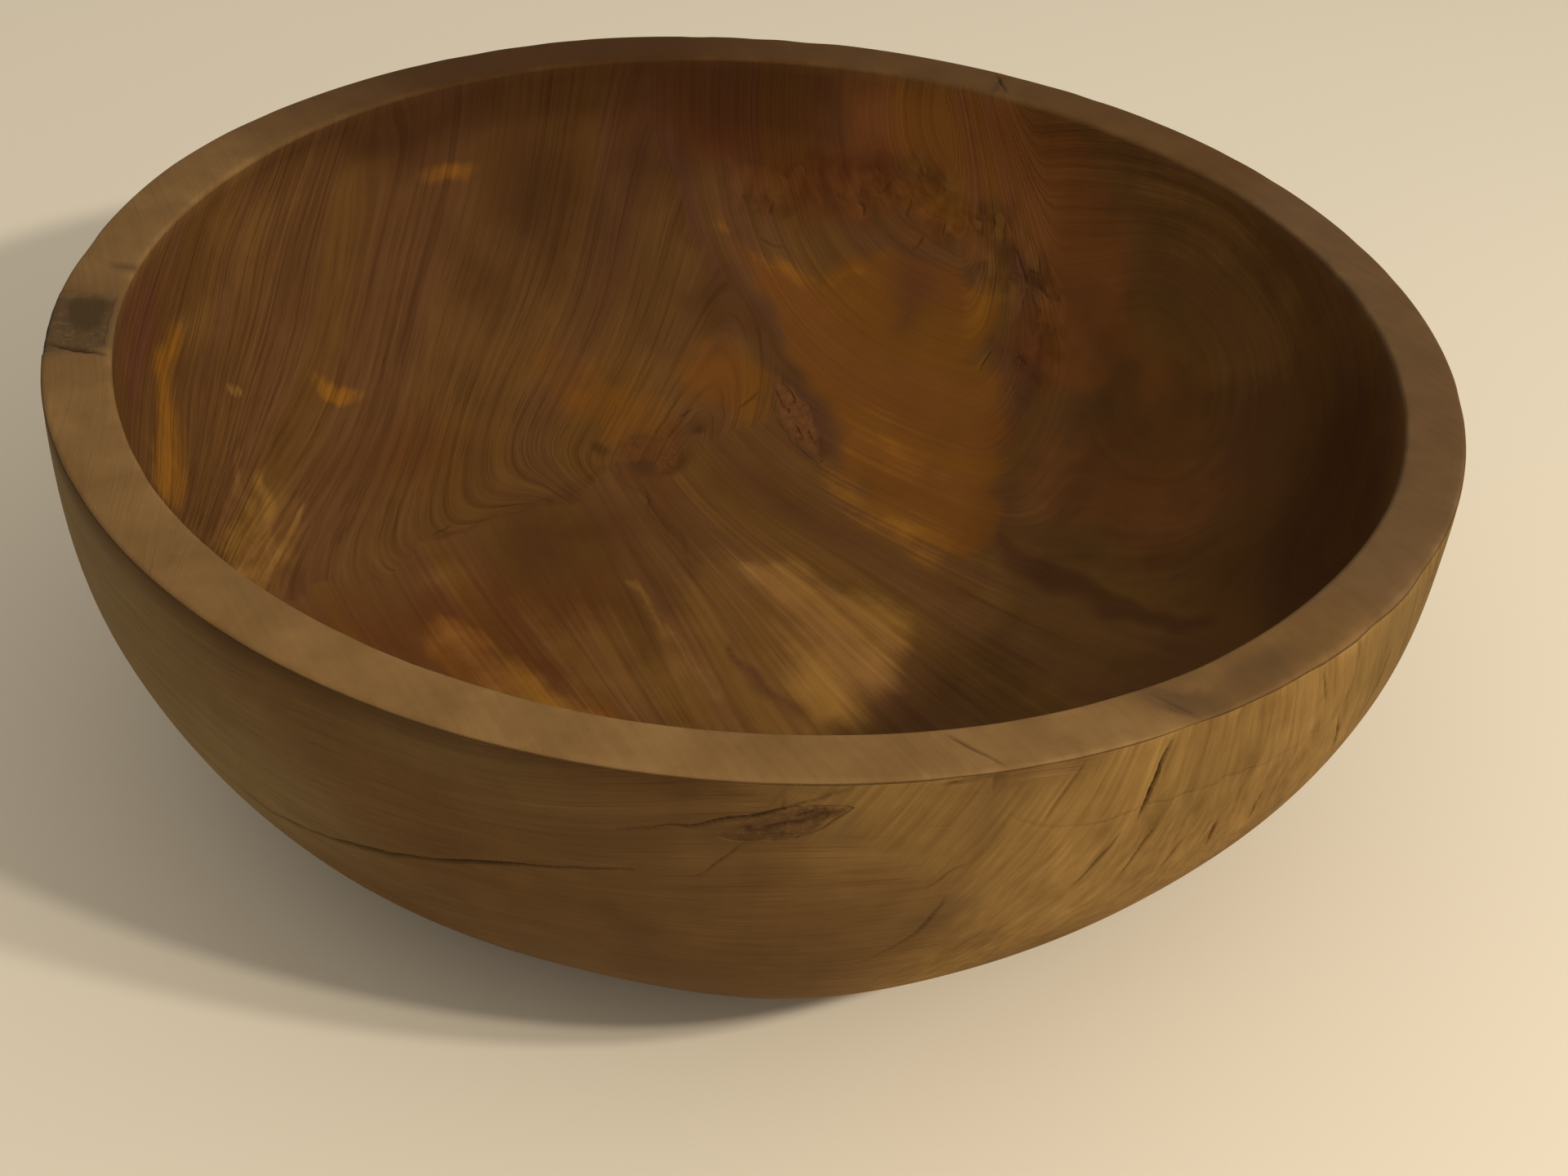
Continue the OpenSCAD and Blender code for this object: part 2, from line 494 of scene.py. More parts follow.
# Each crack: half width, depth, how dark it is, and its corners. A corner is a direction in degrees with a
# height on the wall or a distance from the axis on the rim, and a place in plan inside
OUTER_CRACKS = [
    # The long drying crack across the front, and the shorter ones above it
    (1.0, 1.4, 0.7, [
        (-143, 70), (-136, 64), (-128, 62), (-121, 68.5), (-115, 75), (-107, 85.5), (-100.6, 91.7),
        (-96.5, 95),
    ]),
    (0.9, 1.0, 0.7, [
        (-97.5, 106.6), (-93.7, 110.2), (-91.3, 111.9), (-88.3, 115.3), (-84.4, 120.7), (-82.5, 123.4),
    ]),
    (0.5, 0.7, 0.4, [(-92.8, 94.6), (-91.7, 97), (-89.2, 106.9)]),
    # Checks in the end grain on the right
    (0.6, 0.8, 0.5, [(-66.5, 122.6), (-67.9, 113.6), (-68.8, 107.1)]),
    (0.8, 1.5, 0.95, [(-59.7, 121.6), (-60.3, 111), (-60.6, 103), (-61, 97.5)]),
    (0.8, 1.0, 0.75, [(-62.2, 96), (-63.4, 87), (-64.8, 78)]),
    (0.6, 0.9, 0.7, [(-59.0, 93), (-59.7, 85), (-60.3, 76)]),
    (0.5, 0.5, 0.4, [(-74.1, 97.6), (-76.8, 90.5)]),
    (1.0, 0.6, 0.35, [(-75.0, 87), (-76.3, 74), (-80.2, 62)]),
    (0.7, 0.8, 0.45, [(-71, 68), (-74, 58)]),
    (0.6, 1.0, 0.6, [(-45.6, 122.6), (-43.8, 110.5)]),
    (0.7, 1.1, 0.6, [(-39.4, 96.6), (-38.0, 87), (-36.4, 77)]),
    (0.7, 0.9, 0.65, [(-51.8, 82), (-50.8, 68)]),
    (0.6, 0.8, 0.5, [(-47.2, 85), (-46.4, 70)]),
    (0.6, 0.8, 0.65, [(-54.9, 82), (-55.8, 71)]),
    (0.7, 1.0, 0.55, [(-33.5, 108), (-33.0, 90), (-33.9, 80)]),
    (0.7, 1.1, 0.55, [(-26.0, 122), (-26.6, 104)]),
    (0.7, 0.9, 0.5, [(-18.5, 96), (-17.4, 74)]),
    # The edge of a growth ring across the end grain
    (0.5, 0.3, 0.35, [(-72, 112), (-68.8, 105), (-64.5, 102), (-56.9, 102), (-49.4, 99.5), (-41, 98)]),
    # The end of the line that crosses the rim in front
    (0.7, 0.7, 0.75, [(-72.1, 124.2), (-73, 123.9), (-74.6, 123.5), (-76.8, 122.6)]),
    # The other end of the block, at the back
    (0.9, 1.8, 0.8, [(112, 121), (113.5, 101)]),
    (0.8, 1.3, 0.6, [(124, 104), (122, 80)]),
    (0.6, 1.0, 0.5, [(134, 122), (133.2, 108)]),
    (0.7, 1.1, 0.5, [(140, 92), (142, 72)]),
    (0.7, 0.9, 0.5, [(118, 66), (120, 50)]),
    # A long crack at the back, in line with the one across the front
    (0.9, 2.0, 0.7, [(38, 84), (49, 92), (60, 95), (72, 103)]),
]
RIM_CRACKS = [
    (0.7, 0.7, 0.8, [(-75.2, 176.4), (-73.4, 183.7), (-72.2, 188.6)]),
    (1.6, 0.8, 0.9, [(-168.9, 188.8), (-167.9, 182), (-166.7, 175.2)]),
    (0.6, 0.8, 0.7, [(67.9, 187.5), (66.6, 182), (65.2, 176.6)]),
    (0.5, 0.4, 0.5, [(-58.9, 176.8), (-58.1, 183), (-57.6, 188)]),
]
INSIDE_TEARS = [
    # Curls of the burl on the back wall
    (0.8, 0.5, 0.4, [(34.2, 164.2), (36.0, 163.6), (38.9, 164.8)]),
    (0.8, 0.5, 0.4, [(28.4, 163.9), (30.2, 162.7), (30.5, 161.3)]),
    (0.8, 0.5, 0.4, [(47.0, 161.2), (45.0, 160.2), (45.9, 158.9)]),
    (0.8, 0.4, 0.4, [(50.8, 154.8), (49.8, 153.4), (47.3, 153.2)]),
    (0.7, 0.4, 0.35, [(-0.6, 165.1), (-1.9, 162.5)]),
    (0.7, 0.4, 0.35, [(-3.7, 158.6), (0.5, 157.1), (5.0, 157.2)]),
    (0.8, 0.5, 0.4, [(76.7, 122.9), (73.6, 120.6), (72.7, 117.1)]),
    (0.8, 0.5, 0.4, [(82.6, 116.8), (84.6, 118.2), (87.9, 114.1)]),
    (0.7, 0.4, 0.35, [(81.0, 143.9), (84.5, 139), (87.0, 134.2)]),
    (0.8, 0.5, 0.4, [(89.2, 133.5), (92.6, 130.4), (94.2, 127.2)]),
    # Small tears round the orange patch and below the heart knot
    (0.9, 0.5, 0.55, [(-7.1, 107.9), (-3.6, 111.4), (-0.6, 114.9)]),
    (1.0, 0.5, 0.5, [(-26.7, 101.1), (-22.6, 105.2)]),
    (0.8, 0.35, 0.45, [(-36.0, 68), (-31, 54), (-22, 39)]),
    # A tear by the left edge of the floor
    (0.6, 0.4, 0.5, [(-98, 26), (-93, 33)]),
]


def grooves(place, rows, seed, wiggle):
    return [
        Groove([place(*corner) for corner in corners], half_width, depth, seed + index, wiggle, dirt)
        for index, (half_width, depth, dirt, corners) in enumerate(rows)
    ]


GROOVES = grooves(on_outer, OUTER_CRACKS, 100, 0.3)
GROOVES += grooves(on_rim, RIM_CRACKS, 200, 0.3)
GROOVES += grooves(on_inside, INSIDE_TEARS, 300, 0.45)


def turned_mesh(wood):
    """The section turned round the axis by Geometry Nodes, as a plain closed mesh."""
    line = bpy.data.meshes.new("section_line")
    points = [(r * MM, 0.0, z * MM) for r, z in SHAPE.section]
    line.from_pydata(points, [(i, i + 1) for i in range(len(points) - 1)], [])
    profile = placed("section_line", line)

    tree = bpy.data.node_groups.new("turn_section", "GeometryNodeTree")
    named = (
        ("Section", "NodeSocketObject"),
        ("Rings", "NodeSocketInt"),
        ("Spokes", "NodeSocketInt"),
        ("Wood", "NodeSocketMaterial"),
    )
    inputs = {}
    for name, kind in named:
        inputs[name] = tree.interface.new_socket(name, in_out="INPUT", socket_type=kind)
    tree.interface.new_socket("Turned", in_out="OUTPUT", socket_type="NodeSocketGeometry")

    start = Wire(tree)
    given = start.node("NodeGroupInput", out="Section")
    rings = given.other("Rings")
    spokes = given.other("Spokes")
    grid = start.node(
        "GeometryNodeMeshGrid",
        sockets={"Size X": 1.0, "Size Y": 1.0, "Vertices X": spokes + 1, "Vertices Y": rings},
        out="Mesh",
    )
    spot = start.node("GeometryNodeInputPosition")
    across = start.node("ShaderNodeSeparateXYZ", sockets={0: spot}, out="X")
    turn = (across + 0.5) * math.tau
    ring = start.node(
        "FunctionNodeFloatToInt",
        {"rounding_mode": "ROUND"},
        {0: (across.other("Y") + 0.5) * (rings - 1)},
    )
    profile_points = start.node("GeometryNodeObjectInfo", sockets={"Object": given}, out="Geometry")
    on_profile = start.node(
        "GeometryNodeSampleIndex",
        {"data_type": "FLOAT_VECTOR", "domain": "POINT"},
        {"Geometry": profile_points, "Value": spot, "Index": ring},
    )
    radius = start.node("ShaderNodeSeparateXYZ", sockets={0: on_profile}, out="X")
    turned_spot = start.node(
        "ShaderNodeCombineXYZ",
        sockets={"X": radius * turn.cos(), "Y": radius * turn.sin(), "Z": radius.other("Z")},
    )
    turned = start.node("GeometryNodeSetPosition", sockets={"Geometry": grid, "Position": turned_spot})
    closed = start.node("GeometryNodeMergeByDistance", sockets={"Geometry": turned, "Distance": 1e-6})
    real = start.node("GeometryNodeRealizeInstances", sockets={"Geometry": closed})
    dressed = start.node(
        "GeometryNodeSetMaterial",
        sockets={"Geometry": real, "Material": given.other("Wood")},
    )
    start.node("NodeGroupOutput", sockets={"Turned": dressed})

    blank = placed("turned_blank", bpy.data.meshes.new("turned_blank"))
    lathe = blank.modifiers.new("turn_section", "NODES")
    lathe.node_group = tree
    values = {"Section": profile, "Rings": len(points), "Spokes": SPOKES, "Wood": wood}
    for name, value in values.items():
        lathe[inputs[name].identifier] = value
    mesh = plain_mesh(blank)
    bpy.data.objects.remove(blank)
    bpy.data.objects.remove(profile)
    return mesh


def vertex_spots(mesh):
    spots = np.zeros(len(mesh.vertices) * 3)
    mesh.vertices.foreach_get("co", spots)
    return spots.reshape(-1, 3) / MM


# Edges with a sharper fold than this are drawn as edges
SHARP_FOLD = math.radians(50)


def set_spots(mesh, spots):
    mesh.vertices.foreach_set("co", (spots * MM).ravel())
    mesh.shade_smooth()
    mesh.set_sharp_from_angle(angle=SHARP_FOLD)
    mesh.update()


def flutes(spots):
    """1 on the part of the end grain that stands in upright flutes below the rim."""
    x, y, z = spots.T
    degrees = np.degrees(np.arctan2(y, x))
    share = window((-70, -57), (-30, -42), degrees) * window((80, 98), (BOWL_H, BOWL_H - 5), z)
    return share * (np.hypot(x, y) > MOUTH_R + 6)


# Rounds of splitting: how near a groove they reach, and the longest edge that they leave there
SPLIT_ROUNDS = ((5.5, 1.9), (3.8, 1.0), (2.4, 0.55))
# The flutes are split as far as points at this distance from a groove are
FLUTES_GAP = 4.5


def refine(mesh):
    """Splits the faces near the grooves and on the flutes, so that these get crisp edges."""
    for band, longest in SPLIT_ROUNDS:
        spots = vertex_spots(mesh)
        gap = np.where(flutes(spots) > 0.02, FLUTES_GAP, np.inf)
        for groove in GROOVES:
            gap = np.minimum(gap, groove.near(spots)[0])
        near = gap < band
        work = bmesh.new()
        work.from_mesh(mesh)
        work.verts.ensure_lookup_table()
        split = [
            edge for edge in work.edges
            if near[edge.verts[0].index] and near[edge.verts[1].index] and edge.calc_length() > longest * MM
        ]
        bmesh.ops.subdivide_edges(work, edges=split, cuts=1, use_grid_fill=True)
        many_sided = [face for face in work.faces if len(face.verts) > 4]
        bmesh.ops.triangulate(work, faces=many_sided)
        work.to_mesh(mesh)
        work.free()


# Rings of points in an inset's face, rings down its side, and points round each ring
FACE_RINGS = 18
SIDE_RINGS = 3
SECTORS = 96


def inset_face(inset, grow=0.0):
    """Direction, run and flat place of points in rings round an inset's middle, out to its outline."""
    turn = np.tile(np.linspace(0, math.tau, SECTORS, endpoint=False), FACE_RINGS)
    share = np.repeat(np.linspace(0, 1, FACE_RINGS + 1)[1:], SECTORS)
    turn = np.concatenate([[0.0], turn])
    share = np.concatenate([[0.0], share])
    reach = (inset.reach(turn) + grow) * share
    across = reach * np.cos(turn)
    along = reach * np.sin(turn)
    az, run = inset.wrapped(across, along)
    return az, run, np.column_stack([across, along, share])


def with_sides(values):
    """Values of a face's points carried on down the sides of its plug and to the middle of its bottom."""
    return np.concatenate([values] + [values[-SECTORS:]] * SIDE_RINGS + [values[-1:]])


def plug_mesh(name, face, root, depth_share):
    """A closed mesh from the points of an inset's face, with sides that taper towards the root."""
    edge = face[-SECTORS:]
    steps = np.linspace(0, depth_share, SIDE_RINGS + 1)[1:]
    sides = [edge + step * (root - edge) for step in steps]
    bottom = sides[-1].mean(axis=0, keepdims=True)
    spots = np.vstack([face] + sides + [bottom])
    last = 1 + (FACE_RINGS + SIDE_RINGS - 1) * SECTORS
    faces = []
    for sector in range(SECTORS):
        following = (sector + 1) % SECTORS
        faces.append((0, 1 + sector, 1 + following))
        for low in range(1, last, SECTORS):
            high = low + SECTORS
            faces.append((low + sector, high + sector, high + following, low + following))
        faces.append((last + sector, last + SECTORS, last + following))
    mesh = bpy.data.meshes.new(name)
    mesh.from_pydata((spots * MM).tolist(), [], faces)
    work = bmesh.new()
    work.from_mesh(mesh)
    bmesh.ops.recalc_face_normals(work, faces=work.faces)
    work.to_mesh(mesh)
    work.free()
    return mesh


def cut_pockets(mesh, wood):
    """The turned mesh with a pocket for each inset, slightly larger than the inset itself."""
    gap = 0.06
    # The cutter starts above the surface and ends below the inset's bottom
    lift = 1.12
    overcut = 1.05
    work = bmesh.new()
    for name, inset in INSETS.items():
        az, run, _ = inset_face(inset, gap)
        face = inset.root + lift * (SHAPE.place(az, run) - inset.root)
        deepest = 1 - overcut * inset.depth_share
        cutter = plug_mesh(name + "_pocket", face, inset.root, 1 - deepest / lift)
        work.from_mesh(cutter)
        bpy.data.meshes.remove(cutter)
    pockets_mesh = bpy.data.meshes.new("pockets")
    work.to_mesh(pockets_mesh)
    work.free()
    pockets = placed("pockets", pockets_mesh)
    blank = placed("turned_blank", mesh)
    cut = blank.modifiers.new("pockets", "BOOLEAN")
    cut.operation = "DIFFERENCE"
    cut.solver = "EXACT"
    cut.object = pockets
    pocketed = plain_mesh(blank)
    bpy.data.objects.remove(blank)
    bpy.data.objects.remove(pockets)
    pocketed.materials.clear()
    pocketed.materials.append(wood)
    pocketed.polygons.foreach_set("material_index", [0] * len(pocketed.polygons))
    return pocketed


def groove_cuts(home):
    """How deep the grooves go at points of the surface, and how dark they are there."""
    cut = np.zeros(len(home))
    dirt = np.zeros(len(home))
    for groove in GROOVES:
        gap, along = groove.near(home)
        taper = groove.taper(along)
        half = groove.half_width * (0.45 + 0.55 * taper)
        inside = np.clip(1 - gap / half, 0, 1)
        cut = np.maximum(cut, groove.depth * taper * inside)
        dirt = np.maximum(dirt, groove.dirt * inside * np.clip(taper * 1.6, 0, 1))
    return cut, dirt


# Depths in millimetres: the unevenness of the turned surface, the wear of the rim's edges and the flutes
UNEVENNESS = 0.15
EDGE_WEAR = 0.2
FLUTE_DEPTH = 0.6


def carve(mesh):
    """Sinks the grooves into the turned mesh, wears it and lets it dry.

    Returns the direction, the run and the dirt of each point.
    """
    spots = vertex_spots(mesh)
    az, run = SHAPE.unroll(spots)
    home = SHAPE.place(az, run)
    outward = SHAPE.outward(az, run)
    on_surface = np.linalg.norm(spots - home, axis=1) < 0.05

    above_foot = soft_step(SHAPE.wall_run, SHAPE.wall_run + 60, run)
    above_floor = soft_step(SHAPE.runs[-1], SHAPE.runs[-1] - 60, run)
    sunk = UNEVENNESS * above_foot * above_floor * wander(home, 60, 21)
    edge_out = np.exp(-((run - SHAPE.rim_out_run - 1.2) / 2.2) ** 2)
    edge_in = np.exp(-((run - SHAPE.rim_in_run + 1.2) / 2.2) ** 2)
    degrees = np.degrees(az)
    rubbed = 1 + 2 * window((-95, -80), (-20, -40), degrees)
    wear = np.clip(wander(home, 9, 22) * 0.5 + wander(home, 30, 23) * 0.5, 0, 2)
    sunk += EDGE_WEAR * (edge_out * rubbed + 0.6 * edge_in) * wear

    # The flutes are long upright hollows, and hardly stand out anywhere
    hollow = np.clip(wander(home * (1, 1, 0.06), 4.0, 24), -0.3, 1.6)
    sunk += FLUTE_DEPTH * flutes(home) * hollow
    cut, dirt = groove_cuts(home)
    sunk += cut
    carved = np.where(on_surface[:, None], home - outward * sunk[:, None], spots)
    set_spots(mesh, dried(carved))
    return az, run, dirt


def keep_value(mesh, name, values):
    mesh.attributes.new(name, "FLOAT", "POINT").data.foreach_set("value", np.asarray(values, np.float32))


def keep_vector(mesh, name, values):
    flat = np.asarray(values, np.float32).ravel()
    mesh.attributes.new(name, "FLOAT_VECTOR", "POINT").data.foreach_set("vector", flat)


def leaning(x, y, middle, lean):
    """Places along and across a direction from a middle, with the direction as a vector."""
    from_x = x - middle[0]
    from_y = y - middle[1]
    return from_x * lean[0] + from_y * lean[1], from_y * lean[0] - from_x * lean[1]


def lean_of(degrees):
    return math.cos(math.radians(degrees)), math.sin(math.radians(degrees))


def to_stretch(x, y, start, end):
    """Distance of points from a straight stretch of a line, and their place along it from 0 to 1."""
    step_x = end[0] - start[0]
    step_y = end[1] - start[1]
    from_x = x - start[0]
    from_y = y - start[1]
    share = np.clip((from_x * step_x + from_y * step_y) / (step_x ** 2 + step_y ** 2), 0, 1)
    return np.hypot(from_x - share * step_x, from_y - share * step_y), share


def laid_over(field, depth, strength):
    """A field with one more shape in it, given as a depth that is above 0 inside the shape."""
    return np.maximum(field, np.where(depth > 0, depth * strength, depth))


def ovals(x, y, shapes):
    """1 in the middle of each oval and 0 at its edge: middle, half sizes, turn and strength."""
    field = np.full(len(x), -1.0)
    for middle_x, middle_y, half_length, half_width, turn, strength in shapes:
        along, across = leaning(x, y, (middle_x, middle_y), lean_of(turn))
        field = laid_over(field, 1 - np.hypot(along / half_length, across / half_width), strength)
    return field


def bands(x, y, shapes):
    """1 on each line and 0 at its edges: a strength, then points with a half width at each."""
    field = np.full(len(x), -1.0)
    for strength, line in shapes:
        for start, end in zip(line[:-1], line[1:]):
            gap, share = to_stretch(x, y, start, end)
            field = laid_over(field, 1 - gap / (start[2] + (end[2] - start[2]) * share), strength)
    return field


def areas(x, y, shapes):
    """0 on each outline, and 1 inside it beyond a width: the width, a strength and corners."""
    field = np.full(len(x), -1.0)
    for width, strength, corners in shapes:
        inside = np.zeros(len(x), bool)
        gap = np.full(len(x), np.inf)
        for start, end in zip(corners, corners[1:] + corners[:1]):
            gap = np.minimum(gap, to_stretch(x, y, start, end)[0])
            if start[1] != end[1]:
                crosses = (start[1] > y) != (end[1] > y)
                slope = (end[0] - start[0]) / (end[1] - start[1])
                inside ^= crosses & (x < start[0] + (y - start[1]) * slope)
        depth = np.where(inside, np.minimum(gap / width, 1), -gap / width)
        field = laid_over(field, depth, strength)
    return field


# Where the woods of the inside lie, painted light and painted shade among them, on its surface laid flat
# round the middle of the floor
INSIDE_WOODS = {
    "ochre": {
        areas: [
            (10, 1.0, [
                (-24, 180), (0, 168), (18, 165), (45, 166), (74, 159), (86, 142), (75, 126), (88, 105),
                (86, 82), (70, 40), (58, 46), (44, 62), (27, 84), (20, 112), (6, 140), (-12, 162),
            ]),
            (5, 0.8, [(-94, -15), (-85, -10), (-64, -30), (-40, -52), (-70, -60), (-88, -34)]),
        ],
        ovals: [
            (-30, -50, 26, 8, -30, 0.6),
            (60, 178, 40, 12, -22, 0.5),
            (-54, 104, 26, 15, -25, 0.4),
            (-14, 121, 20, 14, -8, 0.9),
        ],
    },
    "gold": {
        ovals: [
            (-142.5, 66, 14, 5, 24, 1.1),
            (-129, 157, 16, 5.5, 17, 0.8),
            (76, 146, 18, 8, 65, 0.5),
            (44, 92, 26, 14, -60, 0.3),
        ],
        bands: [
            (0.7, [(-202, 26, 8), (-194, 2, 11), (-189, -20, 12), (-184, -36, 10)]),
            (0.3, [(22, 88, 5), (38, 62, 10), (57, 42, 9)]),
            (0.25, [(-87, -18, 6), (-70, -34, 9), (-48, -52, 9)]),
            (0.35, [(-22, 176, 3), (6, 163, 5), (30, 158, 4)]),
        ],
    },
    "tan": {
        areas: [
            (14, 0.9, [(-18, 36), (18, 40), (50, 14), (46, -30), (26, -60), (-22, -60), (-30, -10)]),
            (10, 0.5, [(-136, 20), (-134, 0), (-136, -40), (-164, -40), (-170, -10), (-156, 18)]),
            (16, 1.0, [
                (118, 206), (152, 174), (184, 132), (210, 84), (188, 58), (150, 80), (124, 112), (130, 150),
            ]),
        ],
        ovals: [
            (-92, 4, 20, 10, 40, 0.5),
            (-195, 36, 26, 9, 80, 0.6),
            (-196, 92, 44, 16, 65, 0.45),
            (-42, -20, 34, 18, -42, 1.0),
            (102, 10, 64, 40, 75, 1.0),
        ],
    },
    "pale": {
        areas: [
            (10, 0.75, [(2, 30), (24, 34), (48, 14), (52, -8), (46, -30), (26, -48), (19, -30), (8, -2)]),
        ],
        ovals: [
            (176, 136, 36, 18, -52, 0.25),
        ],
        bands: [
            (1.0, [(2, 27, 4), (14, 12, 9), (22, -4, 13), (26, -20, 15), (28, -34, 14)]),
            (0.25, [(-35, 19, 2), (-28, 1, 3), (-14, -20, 4), (-6, -36, 4)]),
            (0.6, [(-138, 16, 1.5), (-144, -6, 4), (-148, -34, 7)]),
            (0.45, [(-152, 20, 1.5), (-152, -4, 4), (-150, -34, 6)]),
            (0.4, [(-162, 18, 1.5), (-159, -6, 3.5), (-154, -30, 4)]),
            (0.35, [(-86, -20, 7), (-70, -34, 10), (-48, -52, 10)]),
            (1.0, [(-176, 33, 2.6), (-171, 36, 2.2)]),
            (0.35, [(-195, 4, 5), (-190, -20, 8), (-185, -38, 8)]),
        ],
    },
    "red": {
        areas: [
            (26, 0.8, [
                (-140, -38), (-97, 26), (-56, 26), (-38, 48), (-30, 4), (-24, -46), (-62, -58), (-112, -56),
            ]),
        ],
        ovals: [
            (80, 96, 24, 12, 82, 0.9),
            (-213, 2, 40, 12, 95, 0.9),
            (-30, 64, 26, 8, -62, 0.5),
            (-112, 58, 34, 18, 40, 0.6),
            (-33, 97, 9, 7, 40, 0.8),
        ],
    },
    "maroon": {
        ovals: [
            (-26, 214, 66, 28, 0, 0.9),
            (20, 196, 60, 22, -6, 0.75),
            (94, 124, 26, 15, -55, 0.45),
        ],
    },
    # Lighter, redder wood on the back-right and right walls: painted light that stands for the brighter
    # light falling there
    "russet_painted_light": {
        areas: [
            (18, 1.0, [
                (20, 234), (90, 226), (134, 196), (144, 150), (134, 108), (112, 98), (86, 112), (84, 130),
                (96, 152), (84, 174), (58, 190), (18, 206),
            ]),
        ],
        ovals: [
            (122, 56, 44, 26, -60, 0.6),
            (136, 90, 30, 20, -52, 0.35),
        ],
    },
    # Dark smoky wood round the heart knot, together with painted shade on the back wall under the rim and
    # on the right wall
    "smoke_and_shade": {
        areas: [
            (22, 0.45, [(-32, 56), (-58, 64), (-82, 54), (-90, 30), (-74, 2), (-44, 8)]),
        ],
        ovals: [
            (-28, 81, 16, 6, 58, 0.8),
            (-46, 83, 6, 4, -60, 0.7),
            (-22, 102, 5, 4, 0, 0.8),
            (10, 64, 46, 13, -38, 0.4),
            (-30, 222, 78, 24, 4, 0.8),
            (-50, 197, 30, 20, 60, 1.0),
            (-98, 132, 36, 24, 150, 0.4),
            (-86, 170, 52, 40, 150, 0.6),
            (-22, 146, 18, 11, 120, 0.6),
            (-78, 152, 22, 12, 110, 0.5),
            (-88, 196, 18, 14, 60, 0.6),
            (117, 122, 26, 11, 100, 0.35),
            (186, -10, 72, 46, 78, 1.2),
        ],
        bands: [
            (0.7, [(-171, 141, 12), (-156, 158, 18), (-125, 188, 20), (-92, 206, 22), (-60, 216, 18)]),
        ],
    },
    "purple": {
        bands: [
            (0.8, [
                (-64, 224, 8), (-52, 203, 11), (-36, 183, 10), (-28, 168, 9), (-18, 152, 10), (0, 141, 9),
                (9, 130, 8),
            ]),
            (0.9, [(9, 130, 9), (15, 112, 12), (20, 93, 8)]),
            (0.45, [(-72, 206, 20), (-58, 180, 24), (-45, 150, 24), (-35, 128, 14)]),
            (0.6, [(78, 130, 6), (92, 116, 8)]),
            (0.8, [(86, 166, 5), (96, 146, 5)]),
            (0.6, [(-4, -8, 3), (7, -28, 6), (16, -41, 8)]),
            (0.8, [(72, 50, 3), (103, 15, 6), (136, -18, 5)]),
            (0.5, [(-96, 27, 2), (-74, 46, 3), (-48, 72, 3)]),
            (0.5, [(-42, 74, 2), (-36, 62, 2.5), (-28, 47, 2.5), (-20, 34, 2)]),
        ],
        ovals: [
            (52, 146, 26, 16, 70, 0.55),
        ],
    },
    "plum": {
        areas: [
            (8, 0.9, [
                (-238, 18), (-222, 26), (-210, 14), (-203, -14), (-206, -30), (-224, -36), (-238, -20),
            ]),
        ],
    },
    "burl": {
        bands: [
            (1.0, [
                (-16, 190, 14), (18, 194, 20), (48, 190, 20), (82, 170, 17), (99, 141, 16), (92, 114, 15),
            ]),
            (0.4, [(-34, 100, 10), (-14, 106, 12)]),
        ],
    },
}

# How much of the way along the grain counts against the way across it
ALONG_SHARE = 0.03
# Middle of the left branch's rings and the way across them, in plan
PITH = (-25.0, 75.0)
RING_LEAN = (0.984, -0.177)
# How far the rings are drawn out: behind the pith, in front of it, and how much more far to its sides
DRAWN_BEHIND = 4.5
DRAWN_IN_FRONT = 0.55
DRAWN_AT_SIDES = 2.6
# How much the height above the floor counts in the rings
RING_RISE = 0.25
# The straight rings up the left wall: a point of the flat surface, its ring and the way across the rings
LEFT_WALL_POINT = (-150, 60)
LEFT_WALL_RING = 115
LEFT_WALL_LEAN = (-0.955, -0.25)

# Where the fan of streaks starts, the way it runs, its length, and its width at its root and beside it
FAN_ROOT = (-38.0, 80.0)
FAN_LEAN = lean_of(-58)
FAN_LENGTH = 81
FAN_ROOT_WIDTH = 0.45
FAN_SIDE_WIDTH = 0.85
# Middle of the ovals that the layers show on the right wall, its layer, and layers for each millimetre
EYE = on_inside(121.6, 95.7)
EYE_LAYER = 111
LAYERS_PER_MM = 2
# The line where the right wall's layers start: a point of the flat surface and the way across the line
RIGHT_WALL_POINT = (72, 50)
RIGHT_WALL_LEAN = (0.728, 0.685)

# The boundary between the rings and the fan on the flat surface: how far back, and how far to the right
BORDER = (
    (-60, -170), (-40, -142), (27, -97), (70, -46), (85, -30), (100, -10), (115, 8), (130, 9), (141, 0),
    (152, -18), (168, -28), (183, -36), (203, -52), (240, -70),
)

# How far the fibres of the end grain lean, as a share of their height, by direction in degrees
END_LEAN = (
    (-95, 0.7), (-80, 0.65), (-67, 0.5), (-60, 0.18), (-45, -0.3), (-30, -0.3), (0, 0.0), (180, 0.0),
)

# Painted shade on the rim's top: how dark it is by direction in degrees, darkest at the back and on the
# right
RIM_PAINTED_SHADE = (
    (-180, 0.18), (-160, 0.0), (-135, 0.15), (-115, 0.0), (-62, 0.05), (-54, 0.34), (-40, 0.48),
    (-18, 0.68), (18, 0.68), (35, 0.72), (75, 0.72), (105, 1.0), (132, 0.95), (152, 0.42), (162, 0.14),
    (180, 0.18),
)

# Wood soaked dark round an inset: how dark it is beside it, and how far it takes to fade
SOAKED = {"rim_knot": (0.8, 3.0), "inner_bark": (0.2, 4.0), "outer_bark": (0.3, 5.0)}
# Stains on the wall as ovals, with the direction in degrees and the height of each middle
WALL_STAINS = (
    (-75.5, 82, 12, 8, 20, 1.0),
    (-72.5, 110, 9, 12, 0, 0.8),
    (-83, 112, 12, 8, 20, 0.9),
    (-85, 121.5, 18, 4, 6, 0.9),
    (-99, 103, 28, 13, 0, 0.6),
)
